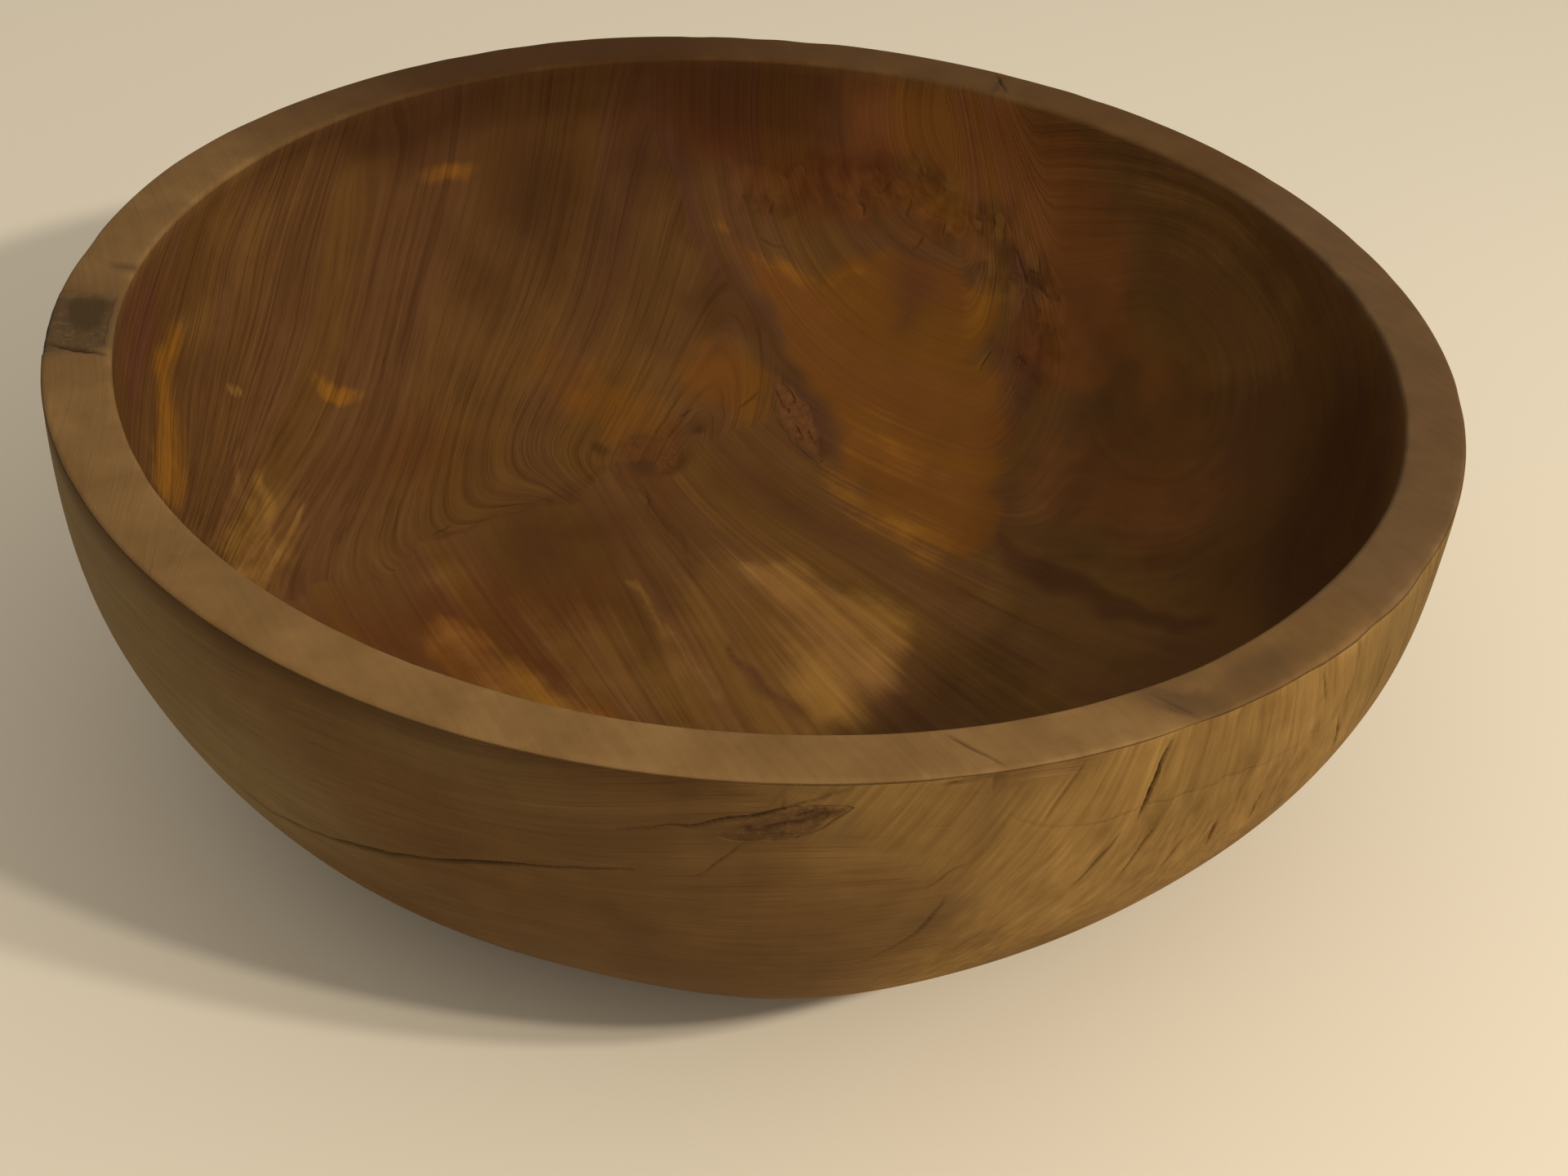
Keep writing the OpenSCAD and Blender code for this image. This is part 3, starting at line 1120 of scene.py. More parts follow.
# Stains on the rim as ovals, on the flat surface that the woods of the inside lie on
RIM_STAINS = (
    (156, -186, 34, 10, 40, 0.7),
    (132, -205, 16, 7, -6, 1.6),
    (-238, 9, 5, 2.8, 20, 1.2),
    (96, 222, 8, 3, 66, 1.0),
)


def signed(degrees):
    """The same direction between -180 and 180 degrees."""
    return (degrees + 180) % 360 - 180


class WoodMap:
    """What the wood looks like at points of the surface: the values that the materials read."""

    def __init__(self, az, run, dirt):
        self.az = az
        self.run = run
        self.home = SHAPE.place(az, run)
        self.degrees = signed(np.degrees(az))
        # Directions with a natural unevenness, for edges that follow the wood
        self.drift = 6 * wander(self.home, 40, 36)
        self.uneven = self.degrees + self.drift
        self.outside = run < SHAPE.rim_out_run + 0.9
        self.inside = soft_step(SHAPE.rim_in_run - 0.8, SHAPE.rim_in_run + 0.4, run)
        self.rim_top = np.where(self.outside, 0.0, 1 - self.inside)
        self.at_foot = self.outside * soft_step(34, 6, self.home[:, 2])
        # The surface laid flat round the middle of the floor, true and with a natural unevenness
        self.from_middle = SHAPE.runs[-1] - run
        self.laid_x = self.from_middle * np.cos(az)
        self.laid_y = self.from_middle * np.sin(az)
        self.flat_x = self.laid_x + 2.0 * wander(self.home, 24, 31) + wander(self.home, 9, 32)
        self.flat_y = self.laid_y + 2.0 * wander(self.home, 24, 33) + wander(self.home, 9, 34)
        self.bent_x = self.home[:, 0] + 1.6 * wander(self.home, 70, 39)
        self.bent_y = self.home[:, 1] + 1.6 * wander(self.home, 70, 40)
        self.vectors = {}
        self.values = {"rim_top": self.rim_top, "outside": self.outside, "dirt": dirt, "turned_run": run}
        self.lay_rings()
        self.lay_fan()
        self.share_grain()
        self.lay_woods()
        self.wear_and_shade_rim()
        self.soak()
        self.weather()

    def keep_grain(self, name, on_wall, elsewhere):
        self.vectors[name] = np.where(self.outside[:, None], on_wall, elsewhere)

    def streaks(self, across):
        """A place in the grain: the way across it, and a small share of the way along it."""
        return np.column_stack([across, ALONG_SHARE * self.home[:, 0], ALONG_SHARE * self.home[:, 1]])

    def lay_rings(self):
        """Rings of the left branch inside, and level layers that wave a little on the wall."""
        x, y, z = self.home.T
        # Straight far from the pith, and curling in below it close by
        across, along = leaning(self.bent_x, self.bent_y, PITH, RING_LEAN)
        in_front = DRAWN_IN_FRONT + DRAWN_AT_SIDES * soft_step(35, 105, np.abs(across))
        drawn = np.where(along > 0, DRAWN_BEHIND, in_front)
        rings = np.sqrt(across ** 2 + (along / drawn) ** 2 + (RING_RISE * (z - FLOOR_T)) ** 2)
        # Up the left wall they are straight lines on the flat surface
        far_rings = LEFT_WALL_RING + leaning(self.laid_x, self.laid_y, LEFT_WALL_POINT, LEFT_WALL_LEAN)[0]
        far_rings += 0.8 * wander(self.home, 30, 41)
        rings += (far_rings - rings) * soft_step(-150, -180, self.laid_x)
        waves = 5 * np.sin(2 * self.az + 0.6) + 3 * np.sin(5 * self.az)
        level = z + waves + (0.33 * x + 0.23 * y - waves) * self.at_foot + 1.5 * wander(self.home, 50, 35)
        self.keep_grain("ring_grain", self.streaks(level), self.streaks(rings))

    def lay_fan(self):
        """Streaks that fan out from below the heart knot inside, and end grain on the wall."""
        x, y, z = self.home.T
        along, across = leaning(self.bent_x, self.bent_y, FAN_ROOT, FAN_LEAN)
        width = FAN_ROOT_WIDTH + 0.5 * (1 + np.tanh(along / FAN_LENGTH - 1))
        spread = across / (FAN_SIDE_WIDTH + (width - FAN_SIDE_WIDTH) * soft_step(-75, -15, across))
        # On the right wall the cut runs along the growth layers, which show as ovals
        eye_az = np.array([EYE[0]])
        eye_run = np.array([EYE[1]])
        above_eye = (self.home - SHAPE.place(eye_az, eye_run)) @ SHAPE.outward(eye_az, eye_run)[0]
        layers = EYE_LAYER - LAYERS_PER_MM * above_eye + 1.5 * wander(self.home, 30, 42)
        past_fan = leaning(self.laid_x, self.laid_y, RIGHT_WALL_POINT, RIGHT_WALL_LEAN)[0]
        spread += (layers - spread) * soft_step(0, 40, past_fan) * soft_step(70, 110, self.laid_x)
        lean_at, leans = np.transpose(END_LEAN)
        end_az = self.az - (z - 100) * np.interp(self.degrees, lean_at, leans) / BOWL_R
        from_axis = np.hypot(x, y)
        end_streaks = np.column_stack([from_axis * np.cos(end_az), from_axis * np.sin(end_az), 0.07 * z])
        self.keep_grain("fan_grain", end_streaks, self.streaks(spread))

    def share_grain(self):
        """Where the fan takes over from the rings inside, and where the wall shows end grain."""
        border_y, border_x = np.transpose(BORDER)
        fan_share = soft_step(-8, 8, self.flat_x - np.interp(self.flat_y, border_y, border_x))
        front_end = window((-92, -66), (-2, -20), self.uneven)
        back_end = window((86, 114), (168, 142), self.uneven)
        end_grain = np.maximum(front_end, back_end) * self.outside * (1 - self.at_foot)
        self.values["end_grain"] = end_grain
        self.values["fan_share"] = np.where(self.outside, end_grain, fan_share)

    def lay_woods(self):
        """The woods of the inside, and how little figure shows there, on the wall and on the rim."""
        for name, shapes in INSIDE_WOODS.items():
            field = np.full(len(self.run), -1.0)
            for measure, rows in shapes.items():
                field = np.maximum(field, measure(self.flat_x, self.flat_y, rows))
            self.values[name] = np.clip(np.where(self.outside, -1.0, field), -1, 1.3)
        right_side = 0.7 * window((-125, -95), (62, 30), self.uneven) * soft_step(60, 110, self.from_middle)
        in_ochre = 0.65 * soft_step(-0.3, 0.5, self.values["ochre"])
        in_red = 0.2 * soft_step(-0.2, 0.5, self.values["red"])
        calm = np.maximum.reduce([right_side, in_ochre, in_red]) * self.inside + 0.85 * (1 - self.inside)
        self.values["calm"] = np.where(self.outside, 0.6 - 0.9 * self.values["end_grain"], calm)

    def wear_and_shade_rim(self):
        """Rubbed edges of the rim, painted shade on the walls just below its edges, and painted shade on
        its top.
        """
        out_edge = np.exp(-((self.run - SHAPE.rim_out_run - 1.1) / 1.5) ** 2)
        in_edge = np.exp(-((self.run - SHAPE.rim_in_run + 1.1) / 1.3) ** 2)
        rubbed = 0.15 + window((-84, -74), (-10, -25), self.degrees)
        self.values["worn"] = out_edge * rubbed + 0.6 * in_edge
        # Painted shade: darker wall just below the rim's outer edge at the front and left, and just below
        # its inner edge at the back
        painted_shade_below_rim = self.outside * np.exp((self.home[:, 2] - BOWL_H) / 5.0)
        painted_shade_below_rim *= window((-176, -150), (-68, -86), self.degrees)
        painted_shade_below_mouth = self.inside * np.exp(-np.clip(self.run - SHAPE.rim_in_run, 0, None) / 6.0)
        painted_shade_below_mouth *= window((75, 95), (168, 148), self.degrees)
        self.values["painted_shade_below_rim"] = painted_shade_below_rim + painted_shade_below_mouth
        # Painted shade on the rim's top, by direction
        directions, shades = np.transpose(RIM_PAINTED_SHADE)
        self.values["rim_painted_shade"] = np.interp(signed(self.degrees + self.drift / 2), directions, shades)

    def soak(self):
        """Dark, stained wood round the knots and the bark, and stains on the wall and the rim."""
        stain = np.zeros(len(self.run))
        for name, (strength, width) in SOAKED.items():
            inset = INSETS[name]
            across, along = inset.flat(self.az, self.run)
            distance = np.hypot(across, along) - inset.reach(np.arctan2(along, across))
            near = (np.abs(across) < 60) & (np.abs(along) < 60)
            stain = np.maximum(stain, near * strength * np.exp(-np.clip(distance, 0, None) / width))
        arc = self.az * BOWL_R + 2 * wander(self.home, 14, 37)
        height = self.home[:, 2] + 2 * wander(self.home, 14, 38)
        wall_stains = [(math.radians(at) * BOWL_R, *rest) for at, *rest in WALL_STAINS]
        on_wall = 0.4 * self.outside * soft_step(-0.1, 0.7, ovals(arc, height, wall_stains))
        on_rim = 0.65 * self.rim_top * soft_step(0, 0.6, ovals(self.flat_x, self.flat_y, RIM_STAINS))
        self.values["stain"] = np.maximum.reduce([stain, on_wall, on_rim])

    def weather(self):
        """How grey the wall and the rim are, and painted shade on the end grain on the far right."""
        wall = soft_step(-98, -142, self.uneven) + soft_step(150, 170, self.uneven)
        wall += 0.5 * window((10, 40), (100, 70), self.degrees)
        wall += (0.4 - wall) * self.at_foot
        rim = 0.6 * window((-45, -20), (34, 20), self.uneven)
        self.values["weather"] = np.clip(np.where(self.outside, wall, rim), 0, 1)
        # Painted shade on the far right of the wall
        self.values["far_right_painted_shade"] = window((-52, -20), (40, 0), self.uneven) * self.outside


def paint(mesh, az, run, dirt):
    """Keeps on a mesh what the wood looks like at each of its points."""
    wood = WoodMap(az, run, dirt)
    for name, values in wood.vectors.items():
        keep_vector(mesh, name, values)
    for name, values in wood.values.items():
        keep_value(mesh, name, values)


def new_material(name):
    material = bpy.data.materials.new(name)
    material.use_nodes = True
    tree = material.node_tree
    tree.nodes.clear()
    return material, Wire(tree)


def kept_value(start, name):
    return start.node("ShaderNodeAttribute", {"attribute_name": name}, out="Fac")


def kept_vector(start, name):
    return start.node("ShaderNodeAttribute", {"attribute_name": name}, out="Vector")


class WoodLook:
    """The crotch wood as painted on the meshes: its colour, its height and its roughness."""

    def __init__(self, start):
        self.start = start
        self.spot = start.node("ShaderNodeTexCoord", out="Object").scaled(1 / MM)
        self.mottle = self.spot.noise(0.07, 4.0, 0.55)
        self.rim_top = self.value("rim_top")
        self.outside = self.value("outside")
        self.end_grain = self.value("end_grain")
        self.burl = self.value("burl").soft_step(0.0, 0.8)
        self.find_grain()
        wood = self.inside_colour()
        wood = self.outside.between(wood, self.wall_colour())
        wood = self.rim_top.between(wood, self.rim_colour())
        wood = self.grained(wood)
        self.colour = self.soiled(wood)
        lathe_spot = start.node("ShaderNodeCombineXYZ", sockets={"X": self.value("turned_run")})
        lathe_lines = lathe_spot.noise(0.9, 2.0)
        self.height = self.fine * (1 - self.rim_top * 0.5) * 0.8 + self.broad * 0.5 + lathe_lines * 0.12
        self.height -= self.pores * 0.4 + self.lines * 0.4 + self.creases * 0.6
        self.height += self.curls * 1.6
        self.roughness = 0.72 + (self.mottle - 0.5) * 0.25 + (self.fine - 0.5) * 0.12
        self.roughness += self.end_grain * 0.08

    def value(self, name):
        return kept_value(self.start, name)

    def find_grain(self):
        """Streaks along the grain, thin dark lines between the rings, and the curls of the burl.

        The scales of the noise are in cycles for each millimetre across the grain.
        """
        curl = self.spot.noise(0.075, 2.0, out="Color").vector("SUBTRACT", (0.5, 0.5, 0.5))
        curl = curl.scaled(self.burl * 7.0 + 0.7)
        sway = curl.vector("MULTIPLY", (1.0, 0.05, 0.05))
        ring_grain = kept_vector(self.start, "ring_grain").moved(sway)
        fan_grain = kept_vector(self.start, "fan_grain").moved(sway)
        ragged = (self.spot.noise(0.06, 3.0) - 0.5) * 0.7
        fan_edge = (self.value("fan_share") + ragged).soft_step(0.35, 0.65)
        ring_broad = ring_grain.noise(0.15, 2.0)
        ring_fine = ring_grain.noise(0.8, 2.0, 0.6)
        fan_broad = fan_grain.noise(0.12, 2.0)
        fan_fine = fan_grain.noise(0.5, 2.0, 0.6)
        self.broad = ring_broad + (fan_broad - ring_broad) * fan_edge
        self.fine = ring_fine + (fan_fine - ring_fine) * fan_edge
        across = self.start.node("ShaderNodeSeparateXYZ", sockets={0: ring_grain}, out="X")
        wave = (across * 1.45 + (ring_broad - 0.5) * 16.0).sin()
        broken = ring_grain.noise(0.25, 1.0).soft_step(0.35, 0.6)
        self.lines = wave.soft_step(0.35, 1.0) * broken * (1 - fan_edge)
        self.lines *= (1 - self.outside * 0.7) * (1 - self.rim_top)
        fibres = ring_grain.noise(0.6, 1.0).soft_step(0.60, 0.72) * (1 - fan_edge)
        ring_hue = ring_grain.noise(0.05, 2.0)
        hue = ring_hue + (fan_grain.noise(0.05, 2.0) - ring_hue) * fan_edge
        self.hue = (hue.soft_step(0.35, 0.65) - 0.5) * (1 - self.outside) * (1 - self.rim_top) + 0.5
        contrast = 1 - self.value("calm") * 0.85
        self.pores = ring_grain.noise(1.9, 0.0).soft_step(0.60, 0.74) * contrast * (1 - fan_edge * 0.9)
        stretched = self.spot.vector("MULTIPLY", (1.0, 0.6, 0.6)).moved(curl)
        self.curls = (stretched.noise(0.17, 1.0) - 0.5) * self.burl
        ridges = 1 - abs(self.curls).soft_step(0.0, 0.11)
        self.creases = ridges * self.spot.noise(0.13, 1.0).soft_step(0.46, 0.62) * self.burl
        blotch = self.spot.noise(0.022, 2.0)
        grain = (self.broad - 0.5) * 0.75 + (self.fine - 0.5) * 1.2 + (blotch - 0.5) * 0.6
        grain += fibres * 0.2 - self.lines * 0.26
        self.tone = grain * contrast + (self.mottle - 0.5) * 0.5 + self.curls * 1.7 + 0.5
        self.feather = (self.mottle - 0.5) * 0.7 + (self.fine - 0.5) * 0.5 + (self.broad - 0.5) * 0.5

    def inside_colour(self):
        """Plain wood of the inside, then the woods that lie in it, painted light and painted shade among
        them, and painted shade below the rim.
        """
        # Each wood: where it starts and is full in its field, its colour and how much of it shows
        layers = (
            ("red", -0.1, 0.8, colour(0.098, 0.0325, 0.0068), 0.8),
            ("tan", -0.1, 0.8, colour(0.148, 0.0670, 0.0155), 0.85),
            # Painted light on the back-right and right walls
            ("russet_painted_light", -0.2, 0.7, colour(0.166, 0.0580, 0.0124), 0.9),
            ("maroon", -0.1, 0.7, colour(0.086, 0.0238, 0.0047), 0.85),
            # Dark smoky wood, with painted shade on the back wall and the right wall
            ("smoke_and_shade", -0.1, 0.7, colour(0.052, 0.0182, 0.0046), 0.75),
            ("ochre", -0.12, 0.5, colour(0.144, 0.0510, 0.0069), 0.85),
            ("pale", -0.15, 0.9, colour(0.235, 0.1120, 0.0255), 0.9),
            ("gold", 0.0, 0.7, colour(0.215, 0.0840, 0.0085), 0.85),
            ("purple", -0.05, 0.75, colour(0.074, 0.0280, 0.0100), 0.75),
            ("plum", -0.1, 0.6, colour(0.106, 0.0385, 0.0150), 0.8),
        )
        wood = colour(0.106, 0.0452, 0.0114)
        for name, low, high, tint, amount in layers:
            share = (self.value(name) + self.feather).soft_step(low, high) * amount
            wood = share.between(wood, tint)
        # Painted shade just below the rim's inner edge at the back
        wood = (self.value("painted_shade_below_rim") * 0.85).between(wood, colour(0.044, 0.0160, 0.0040))
        return (self.creases * 0.3).between(wood, colour(0.048, 0.0160, 0.0040))

    def mottled(self, first, second):
        """Wood that changes between two colours in soft patches."""
        return self.mottle.soft_step(0.2, 0.8).between(first, second)

    def wall_colour(self):
        """Weathered side grain with painted shade just below the rim, and tan end grain on the right and at
        the back, with painted shade on the far right.
        """
        wall = self.mottled(colour(0.106, 0.0525, 0.0163), colour(0.122, 0.0612, 0.0192))
        wall = (self.value("weather") * 0.85).between(wall, colour(0.178, 0.1170, 0.0470))
        # Painted shade just below the rim's outer edge
        wall = (self.value("painted_shade_below_rim") * 0.9).between(wall, colour(0.048, 0.0200, 0.0050))
        end_wood = self.mottled(colour(0.187, 0.1000, 0.0272), colour(0.220, 0.1210, 0.0337))
        # Painted shade on the end grain on the far right
        end_wood = (self.value("far_right_painted_shade") * 0.8).between(end_wood, colour(0.128, 0.0735, 0.0205))
        return self.end_grain.between(wall, end_wood)

    def rim_colour(self):
        """The rim is dry, paler and greyer, with little figure, and darker where shade is painted on its
        top.
        """
        rim = self.mottled(colour(0.170, 0.0910, 0.0300), colour(0.204, 0.1110, 0.0380))
        # Painted shade on the rim's top
        rim = self.value("rim_painted_shade").between(rim, colour(0.056, 0.0222, 0.0052))
        return (self.value("weather") * 0.6).between(rim, colour(0.118, 0.0710, 0.0350))

    def tinted(self, wood, tint):
        settings = {"data_type": "RGBA", "blend_type": "MULTIPLY"}
        return self.start.node("ShaderNodeMix", settings, {0: 1.0, 6: wood, 7: tint}, 2)

    def grained(self, wood):
        """The grain darkens and lightens whatever wood it runs through."""
        dark = self.tinted(wood, colour(0.72, 0.67, 0.60))
        light = self.tinted(wood, colour(1.28, 1.33, 1.38))
        wood = self.tone.between(dark, light)
        cooler = self.tinted(wood, colour(0.97, 0.94, 1.12))
        warmer = self.tinted(wood, colour(1.03, 1.06, 0.86))
        return self.hue.between(cooler, warmer)

    def soiled(self, wood):
        """Rubbed edges, pores, stains and the dirt in the cracks."""
        rubbed = self.value("worn") * self.mottle.soft_step(0.42, 0.66)
        lighter = self.tinted(wood, colour(1.35, 1.4, 1.5))
        wood = (rubbed * 0.6).between(wood, lighter)
        wood = (self.pores * 0.16).between(wood, colour(0.036, 0.0150, 0.0045))
        stained = self.value("stain") * self.mottle.soft_step(0.15, 0.65)
        return self.dirtied(stained.between(wood, colour(0.056, 0.0300, 0.0140)))

    def dirtied(self, wood):
        return self.value("dirt").between(wood, colour(0.024, 0.0110, 0.0040))


# Dry wood hardly shines
WOOD_SPECULAR = 0.05


def finish_material(start, base, roughness, height, bump_mm):
    """The one shader that every wood ends in.

    Its specular level is the same all over, so it is set on the socket.
    """
    bump = start.node(
        "ShaderNodeBump",
        sockets={"Strength": 1.0, "Distance": bump_mm * MM, "Height": height},
    )
    shader = start.node(
        "ShaderNodeBsdfPrincipled",
        sockets={
            "Base Color": base,
            "Roughness": roughness,
            "Normal": bump,
            "Specular IOR Level": WOOD_SPECULAR,
        },
    )
    start.node("ShaderNodeOutputMaterial", sockets={"Surface": shader})


def crotch_wood():
    material, start = new_material("crotch_wood")
    look = WoodLook(start)
    finish_material(start, look.colour, look.roughness, look.height, 0.3)
    return material


def from_oval(place, middle, half_sizes):
    """Distance from an oval's middle on the unrolled surface, as a share of its half sizes."""
    away = place.moved((-middle[0], -middle[1], 0.0))
    shrunk = away.vector("MULTIPLY", (1 / half_sizes[0], 1 / half_sizes[1], 0.0))
    return shrunk.vector("LENGTH", (0.0, 0.0, 0.0), "Value")


def knot_wood(name, body, speck, core, core_oval, body_oval):
    """A dead branch stub: a dusty round body with a dark core, which fades into the wood round it."""
    material, start = new_material(name)
    look = WoodLook(start)
    place = kept_vector(start, "inset_place")
    mottle = look.spot.noise(0.3, 3.0, 0.6)
    grit = look.spot.noise(1.1, 3.0, 0.6)
    knot = ((grit - 0.5) * 1.2 + mottle).soft_step(0.45, 0.85).between(body, speck)
    in_core = 1 - (from_oval(place, *core_oval) + (mottle - 0.5) * 0.6).soft_step(0.6, 1.1)
    knot = (in_core * 0.9).between(knot, core)
    cover = 1 - (from_oval(place, *body_oval) + (mottle - 0.5) * 0.3).soft_step(0.72, 1.0)
    wood = look.dirtied(cover.between(look.colour, knot))
    crack = kept_value(start, "crack")
    wood = (crack * 0.5).between(wood, colour(0.030, 0.0180, 0.0075))
    height = look.height + grit * 0.4 - crack * 0.5
    finish_material(start, wood, look.roughness + (grit - 0.5) * 0.15, height, 0.3)
    return material


def ingrown_bark(name, furrow, ridge):
    """Bark closed in by the wood: broken plates that fade into the wood at its edge."""
    material, start = new_material(name)
    look = WoodLook(start)
    place = kept_vector(start, "inset_place")
    share = start.node("ShaderNodeSeparateXYZ", sockets={0: place}, out="Z")
    raised = kept_value(start, "crack")
    plates = place.noise(0.35, 3.0, 0.6)
    grit = look.spot.noise(1.1, 3.0, 0.65)
    tone = plates * 0.7 + (grit - 0.5) * 0.4 - raised * 0.2 + 0.15
    bark = tone.soft_step(0.25, 0.75).between(furrow, ridge)
    cover = 1 - (share + (plates - 0.5) * 0.5).soft_step(0.68, 1.0)
    wood = look.dirtied(cover.between(look.colour, bark))
    height = look.height + (grit * 0.5 + plates * 0.6 - raised) * cover
    finish_material(start, wood, look.roughness + (grit - 0.5) * 0.15, height, 0.4)
    return material


def inset_piece(name, inset, material, sink_mm, relief_mm, furrows, seed):
    """The piece itself: a face a little below the bowl's surface, and sides that taper to the root."""
    az, run, place = inset_face(inset)
    home = SHAPE.place(az, run)
    share = place[:, 2]
    turn = np.arctan2(place[:, 1], place[:, 0])
    distance = np.hypot(place[:, 0], place[:, 1])
    crack = np.zeros(len(home))
    # Each furrow sways on its way out and stops just short of the outline
    for index, (at, start_share, width) in enumerate(furrows):
        lean = math.radians(at) - 0.12 * np.sin(index + 9 * share)
        away = np.abs((turn - lean + math.pi) % math.tau - math.pi) * distance
        within = (share > start_share) & (share < 0.97)
        crack = np.maximum(crack, np.clip(1 - away / width, 0, 1) * within)
    rough = wander(home, 3.0, seed) * 0.5 + wander(home, 8.0, seed + 1) * 0.5
    sunk = sink_mm + relief_mm * (0.35 * rough + 0.9 * crack + 0.2 * soft_step(0.86, 1.0, share))
    cut, dirt = groove_cuts(home)
    face = home - SHAPE.outward(az, run) * np.maximum(sunk + cut, 0.02)[:, None]
    mesh = plug_mesh(name, face, inset.root, inset.depth_share)
    keep_vector(mesh, "inset_place", with_sides(place))
    keep_value(mesh, "crack", with_sides(crack))
    paint(mesh, with_sides(az), with_sides(run), with_sides(dirt))
    set_spots(mesh, dried(vertex_spots(mesh)))
    mesh.materials.append(material)
    return placed(name, mesh)


bowl_look = crotch_wood()
bowl_mesh = turned_mesh(bowl_look)
refine(bowl_mesh)
bowl_mesh = cut_pockets(bowl_mesh, bowl_look)
paint(bowl_mesh, *carve(bowl_mesh))
bowl_mesh.name = "bowl_wood"
bowl = placed("bowl_wood", bowl_mesh)

grey_knot = knot_wood(
    "grey_knot",
    colour(0.082, 0.0460, 0.0180),
    colour(0.114, 0.0680, 0.0300),
    colour(0.053, 0.0310, 0.0108),
    ((-6.0, 13.0), (12.5, 5.4)),
    ((2.0, 9.0), (17.0, 20.0)),
)
dark_knot = knot_wood(
    "dark_knot",
    colour(0.100, 0.0370, 0.0088),
    colour(0.124, 0.0480, 0.0120),
    colour(0.066, 0.0290, 0.0090),
    ((5.0, 6.0), (6.5, 5.0)),
    ((0.0, 0.0), (11.0, 11.0)),
)
inner_bark_look = ingrown_bark("inner_bark", colour(0.086, 0.0320, 0.0098), colour(0.145, 0.0575, 0.0170))
outer_bark_look = ingrown_bark("outer_bark", colour(0.062, 0.0290, 0.0100), colour(0.116, 0.0570, 0.0190))

# Cracks and furrows in the pieces: direction in degrees, start as a share of the reach, half width
STUB_CRACKS = [(75, 0.5, 0.5), (200, 0.6, 0.4)]
HEART_CRACKS = [(-60, 0.4, 0.4), (130, 0.5, 0.4)]
INNER_FURROWS = [(104, 0.3, 0.8), (-42, 0.25, 1.0), (133, 0.45, 0.7), (-70, 0.4, 0.7)]
OUTER_FURROWS = [(14, 0.05, 1.0), (196, 0.05, 1.0), (40, 0.35, 0.7)]

# Each piece: its name and look, how far its face lies below the surface, its relief, its cracks and a seed
piece_settings = {
    "rim_knot": ("rim_knot_wood", grey_knot, 0.08, 0.2, STUB_CRACKS, 51),
    "heart_knot": ("heart_knot_wood", dark_knot, 0.03, 0.1, HEART_CRACKS, 53),
    "inner_bark": ("inner_bark_seam", inner_bark_look, 0.06, 0.2, INNER_FURROWS, 55),
    "outer_bark": ("outer_bark_pocket", outer_bark_look, 0.06, 0.25, OUTER_FURROWS, 57),
}
pieces = {}
for node, (name, *settings) in piece_settings.items():
    pieces[node] = inset_piece(name, INSETS[node], *settings)

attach(bowl, "root")
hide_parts("turned_bowl")
for node, piece in pieces.items():
    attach(piece, "root")
    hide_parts(node)

# Half the side of the floor, and how far it lies below the foot, in metres
STAGE_HALF = 4.0
STAGE_DROP = 0.0004

# The two lamps are alike: distance and size in metres, power in watts, tint, then each one's two angles
LAMP_DISTANCE = 1.7
LAMP_SIZE = 0.09
LAMP_POWER = 10.2
LAMP_TINT = (1.0, 0.93, 0.84)
LAMPS = {"first_key": (-28.5, 39.5), "second_key": (-38, 41)}
FILL_TINT = colour(1.0, 0.97, 0.93)
FILL_STRENGTH = 0.58

# The camera's place and aim in metres, its roll in degrees, and its lens and sensor in millimetres
CAMERA_PLACE = Vector((0.0, -0.5634, 0.4521))
CAMERA_AIM = Vector((0.0107, 0.0, 0.0349))
CAMERA_ROLL = 4.54
CAMERA_LENS = 54.07
CAMERA_SENSOR = 36.0


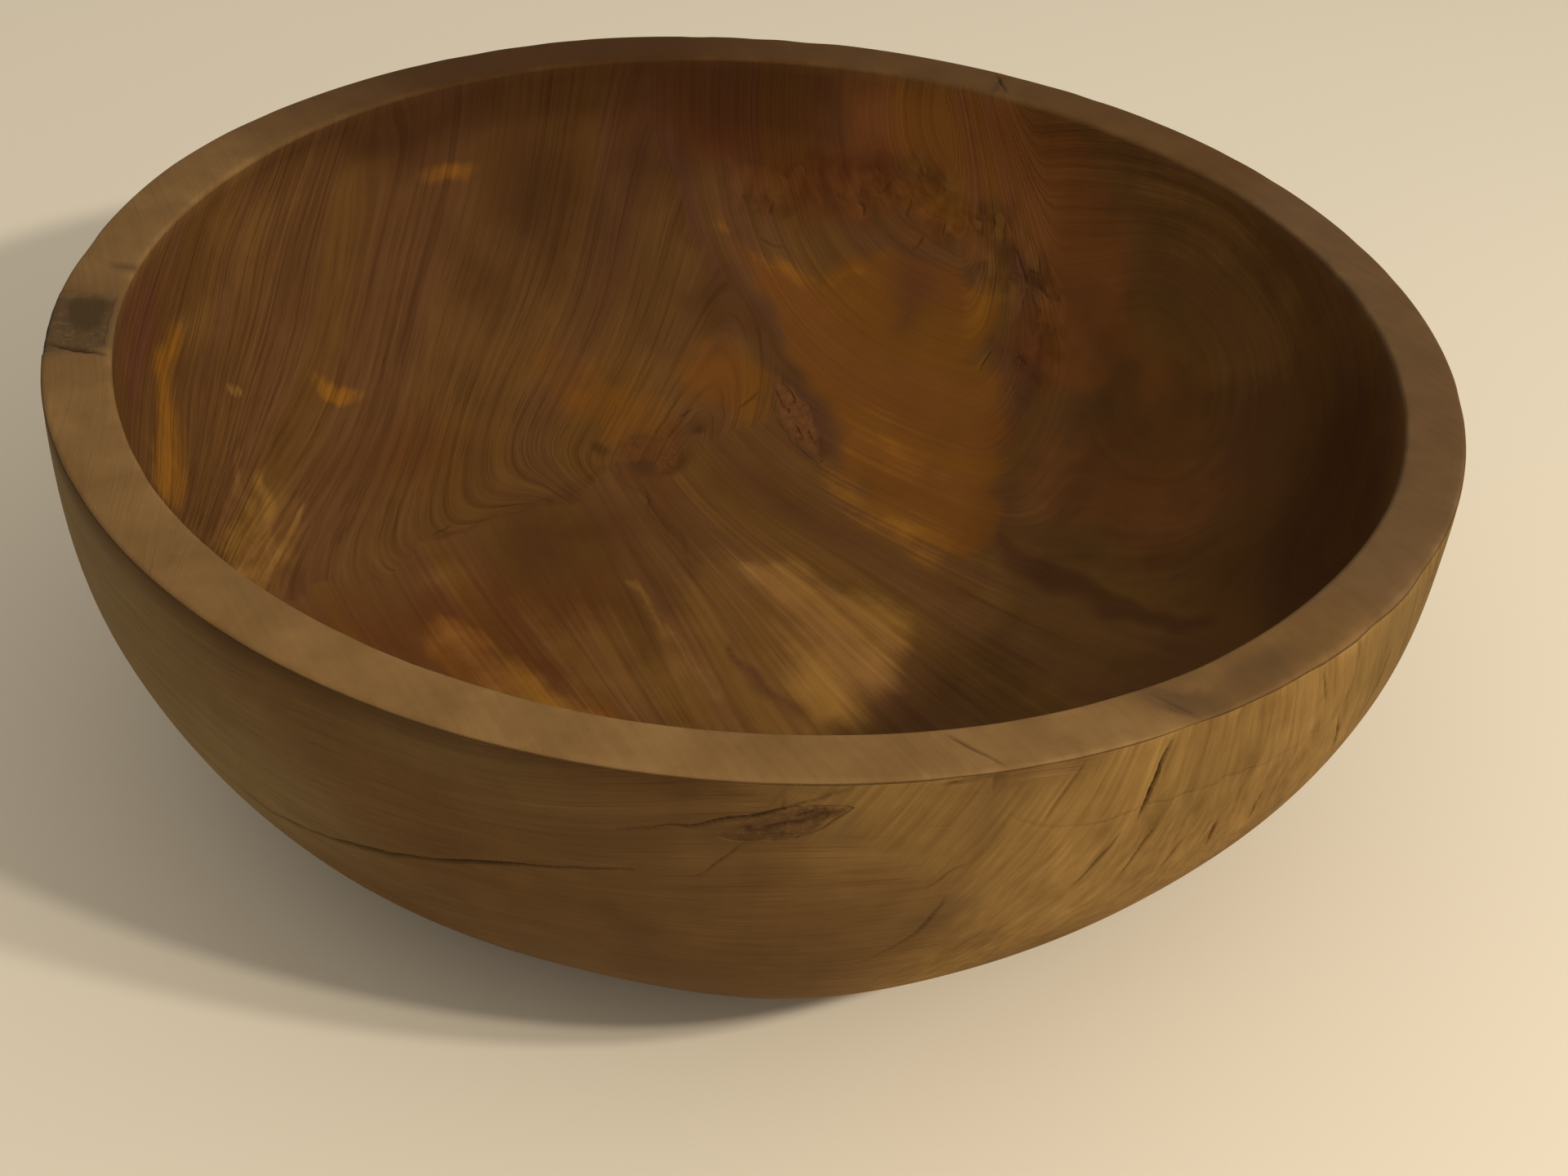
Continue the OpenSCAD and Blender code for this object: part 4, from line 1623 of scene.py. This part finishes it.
def pale_floor():
    """A plain pale floor that the bowl stands on."""
    material, start = new_material("pale_floor")
    shader = start.node(
        "ShaderNodeBsdfPrincipled",
        sockets={"Base Color": colour(0.74, 0.65, 0.49), "Roughness": 0.8, "Specular IOR Level": 0.2},
    )
    start.node("ShaderNodeOutputMaterial", sockets={"Surface": shader})
    mesh = bpy.data.meshes.new("pale_floor")
    corners = [(STAGE_HALF * x, STAGE_HALF * y, 0) for x, y in ((-1, -1), (1, -1), (1, 1), (-1, 1))]
    mesh.from_pydata(corners, [], [(0, 1, 2, 3)])
    mesh.materials.append(material)
    floor = placed("pale_floor", mesh)
    floor.location.z = -STAGE_DROP


def soft_lamp(name, az, elevation):
    lamp = bpy.data.lights.new(name, "AREA")
    lamp.shape = "DISK"
    lamp.size = LAMP_SIZE
    lamp.energy = LAMP_POWER
    lamp.color = LAMP_TINT
    stand = placed(name, lamp)
    turn = math.radians(az)
    lift = math.radians(elevation)
    direction = Vector((math.cos(lift) * math.cos(turn), math.cos(lift) * math.sin(turn), math.sin(lift)))
    stand.location = direction * LAMP_DISTANCE
    stand.rotation_euler = direction.to_track_quat("Z", "Y").to_euler()


def soft_fill():
    world = bpy.data.worlds.new("soft_fill")
    world.use_nodes = True
    fill = world.node_tree.nodes["Background"]
    fill.inputs["Color"].default_value = FILL_TINT
    fill.inputs["Strength"].default_value = FILL_STRENGTH
    scene.world = world


def photo_camera():
    camera = bpy.data.cameras.new("camera")
    camera.sensor_fit = "HORIZONTAL"
    camera.sensor_width = CAMERA_SENSOR
    camera.lens = CAMERA_LENS
    stand = placed("camera", camera)
    turn = (CAMERA_AIM - CAMERA_PLACE).to_track_quat("-Z", "Y")
    roll = Quaternion((0, 0, 1), math.radians(CAMERA_ROLL))
    stand.location = CAMERA_PLACE
    stand.rotation_mode = "QUATERNION"
    stand.rotation_quaternion = turn @ roll
    scene.camera = stand


pale_floor()
for lamp_name, (lamp_az, lamp_height) in LAMPS.items():
    soft_lamp(lamp_name, lamp_az, lamp_height)
soft_fill()
scene.view_settings.view_transform = "Standard"
photo_camera()
